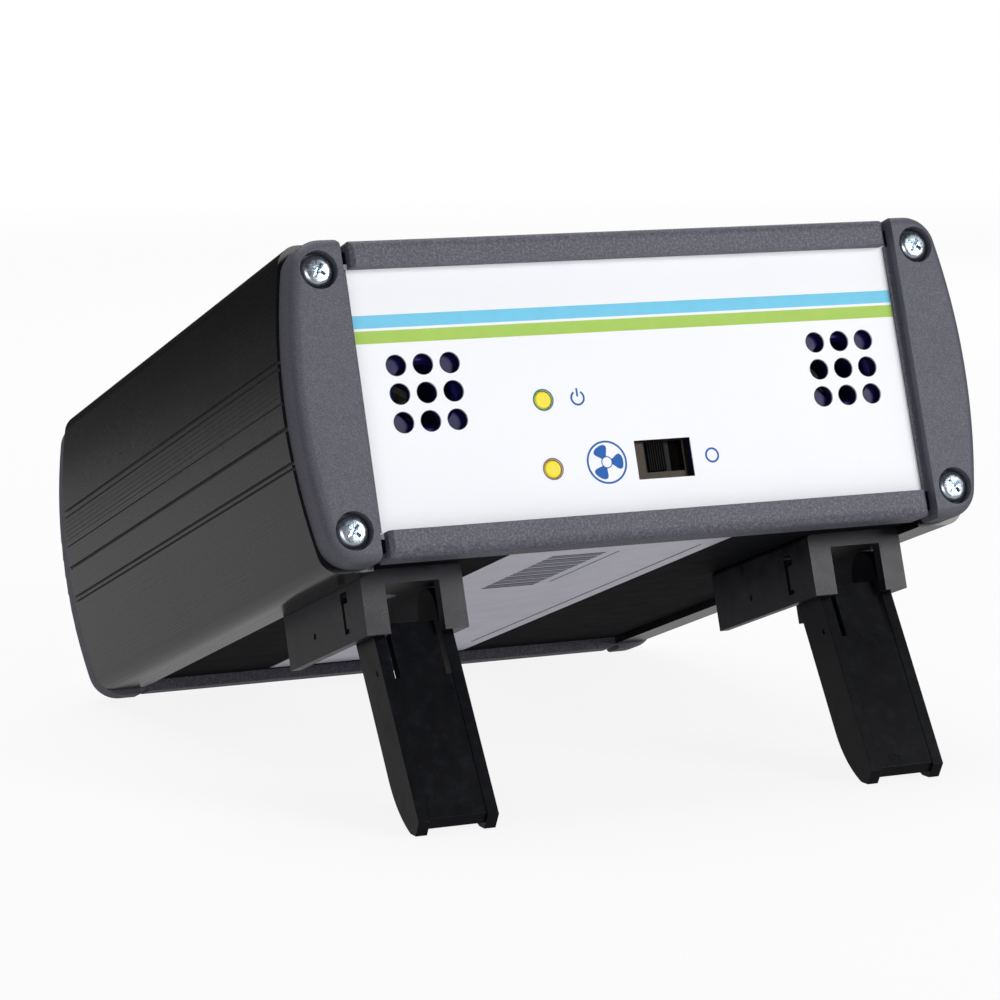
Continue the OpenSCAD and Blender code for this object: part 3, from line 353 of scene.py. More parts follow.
def moulded(name, colour, rough=0.5, grain=0.2, depth=0.012, mottle=0.12, tint=None, spec=0.5):
    """Injection-moulded plastic with a fine eroded skin and a little uneven shine."""
    s = Surface(name, rough=rough, spec=spec)
    cloud, skin = s.noise(5, detail=4, rough=0.6), s.noise(grain, detail=2)
    other = tint or shaded(colour, 1 + 2 * mottle)
    s.colour(s.blend(s.span(cloud, 0.35, 0.7), shaded(colour, 1 - mottle), other))
    shine = s.span(skin, 0.3, 0.7, rough - 0.05, rough + 0.05)
    s.roughness(s.maths("ADD", shine, s.span(cloud, 0.3, 0.7, -0.05, 0.06)))
    s.bump(skin, depth)
    return s.material


def leg_plastic(colours):
    """Leg moulding: near black and half glossy, with smudges and faint flow marks along the leg."""
    s = Surface("leg_moulding", rough=0.3, spec=0.1)
    cloud = s.noise((4, 4, 7), detail=4, rough=0.65)
    smudge = s.span(s.noise(2.2, detail=5, rough=0.7), 0.5, 0.68)
    s.colour(s.blend(s.maths("MULTIPLY", smudge, 0.3), colours.legs, srgb("#161a24")))
    s.roughness(s.maths("ADD", s.span(cloud, 0.3, 0.7, 0.27, 0.36), s.maths("MULTIPLY", smudge, 0.08)))
    s.bump(s.noise(0.22, detail=2), 0.01)
    s.bump(cloud, 0.03, 0.5)
    return s.material


def film(colours):
    """Polyester film with a fine matt printed surface."""
    s = Surface("front_film", rough=0.6, spec=0.15)
    peel = s.noise(0.5, detail=2)
    s.colour(s.blend(s.span(s.noise(20, detail=2), 0.3, 0.7), shaded(colours.film, 0.985), colours.film))
    s.roughness(s.span(peel, 0.3, 0.7, 0.56, 0.64))
    s.bump(peel, 0.002)
    return s.material


def ink(name, colour):
    """Screen-printed ink, very slightly uneven."""
    s = Surface(name, rough=0.6, spec=0.15)
    s.colour(s.blend(s.span(s.noise(3, detail=3), 0.3, 0.7), shaded(colour, 0.97), shaded(colour, 1.03)))
    s.bump(s.noise(0.3, detail=2), 0.002)
    return s.material


def plated(name, colour, rough=0.26, scratch=0.5):
    """Zinc or tin plated steel with fine scratches."""
    s = Surface(name, metal=1.0, rough=rough)
    lines = s.noise((0.08, 0.6, 0.08), detail=3)
    cloud = s.noise(0.9, detail=3)
    s.colour(s.blend(s.span(cloud, 0.35, 0.65), shaded(colour, 0.82), shaded(colour, 1.08)))
    shine = s.span(lines, 0.3, 0.7, rough - 0.08, rough + 0.1)
    s.roughness(s.maths("ADD", shine, s.span(cloud, 0.3, 0.7, -0.03, 0.05)))
    s.bump(lines, 0.006 * scratch)
    return s.material


def lens(colours):
    """Tinted lamp lens, lit from within."""
    s = Surface("lamp_lens", rough=0.4, spec=0.3)
    s.colour(s.blend(s.span(s.noise(0.8, detail=2), 0.3, 0.7), shaded(colours.lamp, 0.96), colours.lamp))
    s.shader.inputs["Emission Color"].default_value = (*colours.lamp, 1.0)
    s.shader.inputs["Emission Strength"].default_value = 0.03
    s.bump(s.noise(0.2, detail=1), 0.002)
    return s.material


def foil():
    """Silver-grey label film with a faint rolled grain."""
    s = Surface("label_film", metal=0.9, rough=0.4)
    grain = s.noise((0.1, 8, 0.1), detail=2)
    s.colour(s.blend(s.span(s.noise(6, detail=3), 0.3, 0.7), srgb("#d2d1e0"), srgb("#dedcea")))
    s.roughness(s.span(grain, 0.3, 0.7, 0.34, 0.46))
    s.bump(grain, 0.003)
    return s.material


def board():
    """Green circuit board: solder mask over faint copper tracks."""
    s = Surface("circuit_board", rough=0.35, coat=0.2)
    tracks = s.cells((2.4, 2.4, 2.4), "DISTANCE_TO_EDGE")
    lines = s.span(tracks, 0.05, 0.09)
    s.colour(s.blend(lines, srgb("#2f8a4d"), srgb("#1b5f35")))
    s.bump(lines, 0.02)
    return s.material


def windings():
    """Enamelled copper turns, with painted shade in the grooves between turns and a painted highlight along
    each turn's crown.
    """
    s = Surface("copper_windings", metal=0.8, rough=0.35)
    turns = s.add("ShaderNodeTexWave", wave_type="BANDS", bands_direction="Z")
    s.link(s.stretched(0.35), turns.inputs["Vector"])
    turns.inputs["Scale"].default_value = 0.3
    # painted shade and highlight: dark copper where the turns' relief is low, bright copper where it is high
    s.colour(s.blend(turns.outputs["Fac"], srgb("#6b3214"), srgb("#b8703a")))
    s.bump(turns.outputs["Fac"], 0.08)
    return s.material


def foam():
    """Closed-cell foam of the panel seals, with painted shade in the hollows of its pores."""
    s = Surface("seal_foam", rough=0.95)
    pores = s.cells(0.5)
    # painted shade: darker towards each pore's hollow centre, where its relief is lowest
    s.colour(s.blend(s.span(pores, 0.1, 0.5), srgb("#111113"), srgb("#232326")))
    s.bump(pores, 0.1)
    return s.material


def insulation(name, text):
    """Smooth wire insulation."""
    s = Surface(name, rough=0.4, coat=0.1)
    s.colour(s.blend(s.span(s.noise(2, detail=2), 0.3, 0.7), shaded(srgb(text), 0.92), srgb(text)))
    s.bump(s.noise(0.4, detail=2), 0.006)
    return s.material


# ---- building pieces ------------------------------------------------------


def collection():
    return bpy.context.scene.collection


def settle(mesh, angle=30.0):
    """Smooth shading with sharp edges past the angle."""
    mesh.polygons.foreach_set("use_smooth", [True] * len(mesh.polygons))
    mesh.set_sharp_from_angle(angle=math.radians(angle))
    mesh.update()
    return mesh


def plain_mesh(obj):
    """The evaluated object as a mesh of its own, with the modifiers gone."""
    depsgraph = bpy.context.evaluated_depsgraph_get()
    depsgraph.update()
    mesh = bpy.data.meshes.new_from_object(obj.evaluated_get(depsgraph))
    obj.modifiers.clear()
    old = obj.data
    obj.data = mesh
    if old.users == 0:
        bpy.data.meshes.remove(old)
    return mesh


def piece(name, mesh, material, body="housing", replaces=()):
    """An object on a CAD body, with its finish, and the CAD nodes that it stands for."""
    mesh.name = name
    obj = bpy.data.objects.new(name, mesh)
    collection().objects.link(obj)
    if material is not None:
        mesh.materials.clear()
        mesh.materials.append(material)
    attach(obj, body)
    if replaces:
        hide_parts(*replaces)
    return obj


def plate(outlines, depth, front, turn=None):
    """Flat print: closed outlines in the panel's X and Z, in metres, with holes as further outlines, between
    front and front + depth in the housing's Y. A turn lays the print on another of the housing's faces."""
    bm = bmesh.new()
    for outline in outlines:
        loops = outline if isinstance(outline[0][0], (tuple, list, Vector)) else [outline]
        edges = []
        for loop in loops:
            verts = [bm.verts.new((x, front, z)) for x, z in loop]
            edges += [bm.edges.new((a, b)) for a, b in zip(verts, verts[1:] + verts[:1])]
        bmesh.ops.triangle_fill(bm, use_beauty=True, use_dissolve=True, edges=edges, normal=(0, -1, 0))
    faces = list(bm.faces)
    bmesh.ops.recalc_face_normals(bm, faces=faces)
    for face in faces:
        if face.normal.y > 0:
            face.normal_flip()
    made = bmesh.ops.extrude_face_region(bm, geom=faces, use_keep_orig=True)
    moved = [g for g in made["geom"] if isinstance(g, bmesh.types.BMVert)]
    bmesh.ops.translate(bm, verts=moved, vec=(0, depth, 0))
    bmesh.ops.recalc_face_normals(bm, faces=bm.faces)
    mesh = bpy.data.meshes.new("print")
    bm.to_mesh(mesh)
    bm.free()
    mesh.transform(HOUSING @ turn if turn else HOUSING)
    return mesh


def printed(name, outlines, ink_finish, thickness):
    """Print on the front film: outlines in the panel's X and Z, standing proud by the ink's thickness."""
    return piece(name, plate(outlines, thickness, -thickness), ink_finish)


def arc(cx, cz, r, start=0.0, end=360.0, steps=48):
    full = abs(end - start) >= 360
    count = steps if full else steps + 1
    return [
        (cx + r * math.cos(math.radians(start + (end - start) * i / steps)),
         cz + r * math.sin(math.radians(start + (end - start) * i / steps)))
        for i in range(count)
    ]


def ring(cx, cz, outer, line, start=0.0, end=360.0):
    """A closed ring, or an open band with square ends, as outlines for plate()."""
    if abs(end - start) >= 360:
        return [arc(cx, cz, outer), arc(cx, cz, outer - line)]
    return [arc(cx, cz, outer, start, end) + arc(cx, cz, outer - line, end, start)]


def spun(profile, steps=48):
    """A mesh turned about Z from a profile of (radius, height), in metres."""
    bm = bmesh.new()
    verts = [bm.verts.new((r, 0, z)) for r, z in profile]
    edges = [bm.edges.new((a, b)) for a, b in zip(verts, verts[1:])]
    bmesh.ops.spin(
        bm, geom=verts + edges, cent=(0, 0, 0), axis=(0, 0, 1), angle=math.tau, steps=steps, use_merge=True
    )
    bmesh.ops.remove_doubles(bm, verts=bm.verts, dist=1e-7)
    bmesh.ops.recalc_face_normals(bm, faces=bm.faces)
    mesh = bpy.data.meshes.new("spun")
    bm.to_mesh(mesh)
    bm.free()
    return mesh


def softened(node, width, body, material):
    """A copy of a CAD node with its sharp edges rounded, which stands for the node."""
    mesh = NODES[node].data.copy()
    bm = bmesh.new()
    bm.from_mesh(mesh)
    bmesh.ops.remove_doubles(bm, verts=bm.verts, dist=1e-7)
    bmesh.ops.dissolve_limit(bm, angle_limit=math.radians(0.4), verts=bm.verts, edges=bm.edges)
    for face in bm.faces:
        face.smooth = True
    for edge in bm.edges:
        edge.smooth = True
    bm.to_mesh(mesh)
    bm.free()
    obj = bpy.data.objects.new("softened", mesh)
    collection().objects.link(obj)
    bevel = obj.modifiers.new("edge", "BEVEL")
    bevel.width = width
    bevel.segments = 2
    bevel.limit_method = "ANGLE"
    bevel.angle_limit = math.radians(35)
    bevel.use_clamp_overlap = True
    flat = obj.modifiers.new("normals", "WEIGHTED_NORMAL")
    flat.keep_sharp = True
    made = plain_mesh(obj)
    bpy.data.objects.remove(obj)
    return piece("soft_" + node, made, material, body, [node])


# ---- copies placed by geometry nodes --------------------------------------


def copies_tree():
    """Geometry nodes that set a copy of a template on each point, facing one way and turned by chance."""
    tree = bpy.data.node_groups.get("blower_copies")
    if tree:
        return tree
    tree = bpy.data.node_groups.new("blower_copies", "GeometryNodeTree")
    tree.is_modifier = True
    face = tree.interface
    face.new_socket("Geometry", in_out="INPUT", socket_type="NodeSocketGeometry")
    face.new_socket("Template", in_out="INPUT", socket_type="NodeSocketObject")
    face.new_socket("Facing", in_out="INPUT", socket_type="NodeSocketVector")
    face.new_socket("Size", in_out="INPUT", socket_type="NodeSocketFloat").default_value = 1.0
    face.new_socket("Turn", in_out="INPUT", socket_type="NodeSocketFloat")
    face.new_socket("Seed", in_out="INPUT", socket_type="NodeSocketInt")
    face.new_socket("Finish", in_out="INPUT", socket_type="NodeSocketMaterial")
    face.new_socket("Geometry", in_out="OUTPUT", socket_type="NodeSocketGeometry")
    new, link = tree.nodes.new, tree.links.new
    given, result = new("NodeGroupInput"), new("NodeGroupOutput")
    info, on_points = new("GeometryNodeObjectInfo"), new("GeometryNodeInstanceOnPoints")
    facing = new("FunctionNodeAlignRotationToVector")
    facing.axis = "Z"
    chance = new("FunctionNodeRandomValue")
    chance.data_type = "FLOAT"
    turn, both = new("FunctionNodeAxisAngleToRotation"), new("FunctionNodeRotateRotation")
    both.rotation_space = "LOCAL"
    real, finish = new("GeometryNodeRealizeInstances"), new("GeometryNodeSetMaterial")
    link(given.outputs["Template"], info.inputs["Object"])
    link(given.outputs["Facing"], facing.inputs["Vector"])
    link(given.outputs["Turn"], chance.inputs[3])
    link(given.outputs["Seed"], chance.inputs["Seed"])
    turn.inputs["Axis"].default_value = (0, 0, 1)
    link(chance.outputs[1], turn.inputs["Angle"])
    link(facing.outputs["Rotation"], both.inputs["Rotation"])
    link(turn.outputs["Rotation"], both.inputs["Rotate By"])
    link(given.outputs["Geometry"], on_points.inputs["Points"])
    link(info.outputs["Geometry"], on_points.inputs["Instance"])
    link(both.outputs["Rotation"], on_points.inputs["Rotation"])
    link(given.outputs["Size"], on_points.inputs["Scale"])
    link(on_points.outputs["Instances"], real.inputs["Geometry"])
    link(real.outputs["Geometry"], finish.inputs["Geometry"])
    link(given.outputs["Finish"], finish.inputs["Material"])
    link(finish.outputs["Geometry"], result.inputs["Geometry"])
    return tree


def copies(name, template, points, facing, material, replaces=(), turn=0.0, seed=0):
    """Copies of a template mesh on points of the housing's frame, facing along one of its directions."""
    pattern = bpy.data.objects.new("template", template)
    collection().objects.link(pattern)
    mesh = bpy.data.meshes.new(name)
    mesh.from_pydata([HOUSING @ Vector(p) for p in points], [], [])
    obj = bpy.data.objects.new(name, mesh)
    collection().objects.link(obj)
    tree = copies_tree()
    modifier = obj.modifiers.new("copies", "NODES")
    modifier.node_group = tree
    names = {s.name: s.identifier for s in tree.interface.items_tree if s.in_out == "INPUT"}
    modifier[names["Template"]] = pattern
    modifier[names["Facing"]] = HOUSING.to_3x3() @ Vector(facing)
    modifier[names["Size"]] = 1.0
    modifier[names["Turn"]] = turn
    modifier[names["Seed"]] = seed
    modifier[names["Finish"]] = material
    made = plain_mesh(obj)
    bpy.data.objects.remove(obj)
    bpy.data.objects.remove(pattern)
    settle(made, 35)
    return piece(name, made, material, "housing", replaces)


def cutter(width, length, depth, taper, top):
    """One wing pair of a cross recess, narrowing downwards from the given height."""
    bm = bmesh.new()
    corners = []
    for z, k in ((top, 1.0), (top - depth, taper)):
        for x, y in ((-1, -1), (1, -1), (1, 1), (-1, 1)):
            corners.append(bm.verts.new((x * length / 2 * k, y * width / 2 * (0.6 + 0.4 * k), z)))
    for face in ((0, 1, 2, 3), (7, 6, 5, 4), (0, 4, 5, 1), (1, 5, 6, 2), (2, 6, 7, 3), (3, 7, 4, 0)):
        bm.faces.new([corners[i] for i in face])
    bmesh.ops.recalc_face_normals(bm, faces=bm.faces)
    mesh = bpy.data.meshes.new("cutter")
    bm.to_mesh(mesh)
    bm.free()
    return mesh


def screw_template(head_r, head_h, shank_r, shank_len):
    """A pan-head, cross-recess screw along Z with its head's underside at 0 and its shank below."""
    point, rim, edge = 0.6 * MM, 0.12 * MM, head_r * 0.42
    shank = [(0, -shank_len), (shank_r * 0.7, -shank_len), (shank_r, -shank_len + point), (shank_r, 0)]
    side, dome = head_h * 0.36, head_h * 0.56
    head = [(head_r - rim, 0), (head_r, rim), (head_r, side)]
    for i in range(1, 9):
        a = math.radians(90 * i / 9)
        head.append((head_r - edge + edge * math.cos(a), side + dome * math.sin(a)))
    head += [(head_r * 0.3, head_h * 0.985), (0, head_h)]
    mesh = spun(shank + head, 48)
    body = bpy.data.objects.new("blank", mesh)
    collection().objects.link(body)
    tools = []
    wing, depth, over = head_r * 0.25, head_h * 0.62, 0.2 * MM
    cross, star = (wing, head_r * 1.16, depth), (wing * 0.34, head_r * 0.86, depth * 0.22)
    for angle, (width, length, deep) in ((0, cross), (90, cross), (45, star), (135, star)):
        tool = bpy.data.objects.new("tool", cutter(width, length, deep + over, 0.5, head_h + over))
        tool.rotation_euler[2] = math.radians(angle)
        collection().objects.link(tool)
        tools.append(tool)
        modifier = body.modifiers.new("cut", "BOOLEAN")
        modifier.object = tool
        modifier.operation = "DIFFERENCE"
        modifier.solver = "EXACT"
    bpy.context.view_layer.update()
    made = plain_mesh(body)
    for obj in (body, *tools):
        bpy.data.objects.remove(obj)
    return made


# ---- operators ------------------------------------------------------------


class BLOWER_OT_finishes(bpy.types.Operator):
    """Gives every CAD node its finish"""

    bl_idname = "blower.finishes"
    bl_label = "Finishes"

    def execute(self, context):
        colours = context.scene.blower_colours
        black = moulded("black_moulding", srgb("#1a1a1d"), rough=0.5)
        ivory = moulded("ivory_moulding", srgb("#ded9ca"), rough=0.45, mottle=0.03)
        steel = plated("zinc_plating", colours.zinc)
        housing, bezel = anodised(colours), bezel_plastic(colours)
        panel = moulded("panel_plate", srgb("#1b1c1f"), rough=0.6, grain=0.15)
        green, copper = board(), windings()
        yellow, red = lens(colours), insulation("red_insulation", "#b3261e")
        nozzle = moulded("nozzle_moulding", colours.nozzle, rough=0.34, depth=0.006, mottle=0.08, spec=0.15)
        foot = moulded("foot_moulding", colours.feet, rough=0.34, grain=0.25, depth=0.02, mottle=0.3,
                       tint=srgb("#25252d"), spec=0.2)
        knob = moulded("knob_moulding", srgb("#0a0a0b"), rough=0.5, grain=0.1, depth=0.004, spec=0.12)
        pin = plated("bright_pin", srgb("#d5d8dc"), rough=0.18)
        leg, seal = leg_plastic(colours), foam()
        looks = {
            housing: ("body_shell",),
            moulded("belly_anodised", srgb("#131417"), rough=0.75, mottle=0.08, spec=0.03): ("belly_plate",),
            bezel: ("front_bezel", "rear_bezel"),
            panel: ("rear_panel",),
            moulded("front_plate", srgb("#141036"), rough=0.6, grain=0.15, spec=0.08): ("front_panel",),
            film(colours): ("front_overlay",),
            seal: ("front_seal", "rear_seal"),
            steel: ("front_screws", "rear_screws", "foot_screws", "nozzle_screws", "board_nuts", "fan_screws",
                    "fan_nuts", "dc_jack_nut", "fan_shaft"),
            foil(): ("underside_label",),
            foot: ("left_foot_block", "right_foot_block"),
            leg: ("left_leg", "right_leg"),
            nozzle: ("left_nozzle", "right_nozzle"),
            ivory: ("left_emitter_holder", "right_emitter_holder", "board_spacers", "fan_socket",
                    "power_socket"),
            pin: ("left_emitter_pin", "right_emitter_pin", "dc_jack_pin"),
            moulded("potting", srgb("#121214"), rough=0.3, grain=2.0, depth=0.03): ("high_voltage_module",),
            red: ("left_high_voltage_lead", "fan_lead"),
            insulation("white_insulation", "#e6e3d8"): ("right_high_voltage_lead",),
            insulation("black_insulation", "#1a1a1c"): ("power_lead",),
            green: ("main_board", "control_board"),
            knob: ("switch_slider",),
            black: ("board_header", "fan_frame", "fan_impeller", "dc_jack"),
            moulded("capacitor_sleeve", srgb("#1d2c63"), rough=0.3, depth=0.004): ("capacitors",),
            copper: ("transformer", "fan_stator"),
            yellow: ("power_lamp", "fan_lamp"),
            plated("switch_plate", srgb("#3a3531"), rough=0.5, scratch=1.0): ("switch_case",),
            moulded("laminate", srgb("#14110f"), rough=0.5): ("switch_base",),
            plated("sintered_bronze", srgb("#b08a4a"), rough=0.45): ("fan_bearing",),
        }
        for material, names in looks.items():
            for name in names:
                mesh = NODES[name].data
                mesh.materials.clear()
                mesh.materials.append(material)
        missing = [n for n in NODES if not any(n in names for names in looks.values())]
        if missing:
            raise RuntimeError("no finish for " + ", ".join(missing))
        return {"FINISHED"}


class BLOWER_OT_mouldings(bpy.types.Operator):
    """Replaces the bezels, foot blocks, legs and switch knob by copies with soft moulded edges"""

    bl_idname = "blower.mouldings"
    bl_label = "Soft mouldings"

    def execute(self, context):
        edge = context.scene.blower_sizes.moulded_edge
        for node, width, body, slot in (
            ("front_bezel", edge * 0.7, "housing", "bezel_plastic"),
            ("rear_bezel", edge * 0.7, "housing", "bezel_plastic"),
            ("left_foot_block", edge, "housing", "foot_plastic"),
            ("right_foot_block", edge, "housing", "foot_plastic"),
            ("left_leg", edge * 0.8, "left_leg", "foot_plastic"),
            ("right_leg", edge * 0.8, "right_leg", "foot_plastic"),
            ("switch_slider", edge * 0.3, "switch_knob", "black_moulding"),
        ):
            softened(node, width, body, NODES[node].data.materials[0])
        return {"FINISHED"}


class BLOWER_OT_screws(bpy.types.Operator):
    """Cross-recess screws of the bezels and the fan"""

    bl_idname = "blower.screws"
    bl_label = "Screws"

    HEAD_HEIGHT = 2.1 / 2.7  # of the head's radius
    BEZEL_SHANK, FAN_SHANK = 1.86, 1.8  # head's radius over the shank's

    def execute(self, context):
        steel = NODES["front_screws"].data.materials[0]
        seed = context.scene.blower_sizes.screw_turn_seed
        for node, toward, share in (
            ("front_screws", -1, self.BEZEL_SHANK),
            ("rear_screws", 1, self.BEZEL_SHANK),
            ("fan_screws", 1, self.FAN_SHANK),
        ):
            boxes = islands(node)
            low, high = boxes[0]
            head_r = (high.x - low.x) / 2
            head_h = head_r * self.HEAD_HEIGHT
            template = screw_template(head_r, head_h, head_r / share, (high.y - low.y) - head_h)
            points = []
            for low, high in boxes:
                seat = low.y + head_h if toward < 0 else high.y - head_h
                points.append(((low.x + high.x) / 2, seat, (low.z + high.z) / 2))
            copies(node.replace("screws", "screw_set"), template, points, (0, toward, 0), steel,
                   replaces=[node], turn=math.tau, seed=seed + len(node))
        return {"FINISHED"}


class BLOWER_OT_stripes(bpy.types.Operator):
    """The two printed stripes across the front film"""

    bl_idname = "blower.stripes"
    bl_label = "Stripes"

    def execute(self, context):
        sizes, colours = context.scene.blower_sizes, context.scene.blower_colours
        half = inside("front_overlay")[1].x - sizes.stripe_end
        top = sizes.stripe_top
        for name, height, colour in (("stripe_upper", sizes.stripe_upper, colours.stripe_upper),
                                     ("stripe_lower", sizes.stripe_lower, colours.stripe_lower)):
            outline = [(-half, top - height), (half, top - height), (half, top), (-half, top)]
            printed(name, [outline], ink(name + "_ink", colour), sizes.ink)
            top -= height + sizes.stripe_gap
        return {"FINISHED"}


class BLOWER_OT_signs(bpy.types.Operator):
    """Fan sign, on and off signs and lamp rings, printed on the film"""

    bl_idname = "blower.signs"
    bl_label = "Signs"

    BLADE_ANGLES = (2, 117, 238)
    HUB, HUB_LINE = 1.02, 0.16  # radius and line of the ring round the fan sign's hub, in mm
    BAR_FOOT, BAR_TOP = 0.25, 0.35  # on sign's bar: above the ring's centre, and past the ring, in mm
    ON_ARC = (122, 418)  # the on sign's ring is open at the top

    def execute(self, context):
        sizes, colours = context.scene.blower_sizes, context.scene.blower_colours
        line, blue = sizes.sign_line, ink("sign_ink", colours.signs)
        switch_low, switch_high = inside("switch_case")
        lamp_low, lamp_high = inside("power_lamp")
        switch_z, lamp_z = (switch_low.z + switch_high.z) / 2, (lamp_low.z + lamp_high.z) / 2

        x = switch_low.x - sizes.sign_gap
        blades = [[self.blade(x, switch_z, angle)] for angle in self.BLADE_ANGLES]
        outer = ring(x, switch_z, sizes.sign_radius, line)
        hub = ring(x, switch_z, self.HUB * MM, self.HUB_LINE * MM)
        printed("fan_sign", [outer, hub] + blades, blue, sizes.ink)

        x, r, half = lamp_high.x + sizes.on_gap, sizes.small_sign, line / 2
        low, high = lamp_z + self.BAR_FOOT * MM, lamp_z + r + self.BAR_TOP * MM
        bar = [(x - half, low), (x + half, low), (x + half, high), (x - half, high)]
        printed("on_sign", [ring(x, lamp_z, r, line, *self.ON_ARC), [bar]], blue, sizes.ink)
        printed("off_sign", [ring(switch_high.x + sizes.off_gap, switch_z, r, line)], blue, sizes.ink)

        for node, text in (("power_lamp", "#2c7f8c"), ("fan_lamp", "#8d6f7e")):
            low, high = inside(node)
            outline = ring((low.x + high.x) / 2, (low.z + high.z) / 2, sizes.lamp_ring, sizes.lamp_line)
            printed(node + "_ring", [outline], ink(node + "_ring_ink", srgb(text)), sizes.ink)
        return {"FINISHED"}

    @staticmethod
    def blade(cx, cz, angle):
        """Outline of one fan blade, wide at its tip; the shape is in mm, along and across the blade."""
        shape = [
            (0.93, -0.45), (1.2, -0.62), (1.6, -0.95), (2.0, -1.26), (2.45, -1.34), (2.8, -1.05), (2.96, -0.4),
            (2.97, 0.3), (2.8, 0.92), (2.4, 1.26), (1.95, 1.16), (1.5, 0.83), (1.15, 0.6), (0.93, 0.5),
        ]
        c, s = math.cos(math.radians(angle)), math.sin(math.radians(angle))
        return [(cx + (x * c - z * s) * MM, cz + (x * s + z * c) * MM) for x, z in shape]


class BLOWER_OT_label_print(bpy.types.Operator):
    """A generic bar pattern and two rules on the underside label"""

    bl_idname = "blower.label_print"
    bl_label = "Label print"

    BARS = ((0.9, 0.5), (0.4, 0.4), (0.4, 0.9), (1.3, 0.5), (0.4, 0.5), (0.9, 0.9))  # bar and gap, in mm
    REPEATS = 4
    NEAR_RULE = (2.2, 0.3, 3.0)  # rule beside the bars: gap, width and how far it stops short, in mm
    FAR_RULE = (3.4, 0.4, 12.0)  # rule along the label's other side: the same

    def execute(self, context):
        sizes = context.scene.blower_sizes
        low, high = inside("underside_label")
        down = Matrix.Rotation(math.radians(90), 4, "X")
        start, first = low.x + sizes.bar_side, low.y + sizes.bar_end
        end, y, outlines = start + sizes.bar_length, first, []
        for thick, gap in self.BARS * self.REPEATS:
            outlines.append(self.bar(start, end, y, y + thick * MM))
            y += (thick + gap) * MM
        gap, width, short = (value * MM for value in self.NEAR_RULE)
        outlines.append(self.bar(end + gap, end + gap + width, first, y - short))
        gap, width, short = (value * MM for value in self.FAR_RULE)
        outlines.append(self.bar(high.x - gap, high.x - gap + width, first, high.y - short))
        mesh = plate(outlines, sizes.ink, low.z - sizes.ink, down)
        piece("label_print", mesh, ink("label_ink", srgb("#6a6a74")))
        return {"FINISHED"}

    @staticmethod
    def bar(left, right, near, far):
        """Outline of a bar on the label, which is laid face down, so its Y turns over."""
        return [(left, -far), (right, -far), (right, -near), (left, -near)]


class BLOWER_OT_hole_rims(bpy.types.Operator):
    """Cut edges of the film round the outlet holes"""

    bl_idname = "blower.hole_rims"
    bl_label = "Hole rims"

    HOLE = 1.75  # radius of an outlet hole, in mm
    PROFILE = ((1.72, 0), (1.72, 0.03), (1.78, 0.035), (1.8, 0.02), (1.8, 0))  # radius and height, in mm

    def execute(self, context):
        dark = moulded("cut_edge", srgb("#2a2b33"), rough=0.6)
        profile = [(r * MM, z * MM) for r, z in self.PROFILE]
        points = [(p.x, 0, p.z) for p in self.hole_centres("front_overlay", self.HOLE * MM)]
        if points:
            copies("outlet_rims", spun(profile, 32), points, (0, -1, 0), dark)
        return {"FINISHED"}

    @staticmethod
    def hole_centres(node, radius):
        """Centres, in the housing's frame, of the round holes of a radius through a flat CAD node."""
        back, slack = HOUSING.inverted(), 0.05 * MM
        bm = bmesh.new()
        bm.from_mesh(NODES[node].data)
        bmesh.ops.remove_doubles(bm, verts=bm.verts, dist=1e-7)
        flat = {f for f in bm.faces if abs((back.to_3x3() @ f.normal).y + 1) < 1e-3}
        todo = {e for f in flat for e in f.edges if sum(g in flat for g in e.link_faces) == 1}
        centres = []
        while todo:
            grow, loop = [todo.pop()], []
            while grow:
                edge = grow.pop()
                loop.append(edge)
                for near in [e for v in edge.verts for e in v.link_edges if e in todo]:
                    todo.discard(near)
                    grow.append(near)
            found = [back @ v.co for e in loop for v in e.verts]
            low = Vector([min(p[i] for p in found) for i in range(3)])
            high = Vector([max(p[i] for p in found) for i in range(3)])
            half = (high - low) / 2
            if abs(half.x - radius) < slack and abs(half.z - radius) < slack:
                centres.append((low + high) / 2)
        bm.free()
        return sorted(centres, key=lambda p: (round(p.z / MM, 2), round(p.x / MM, 2)))


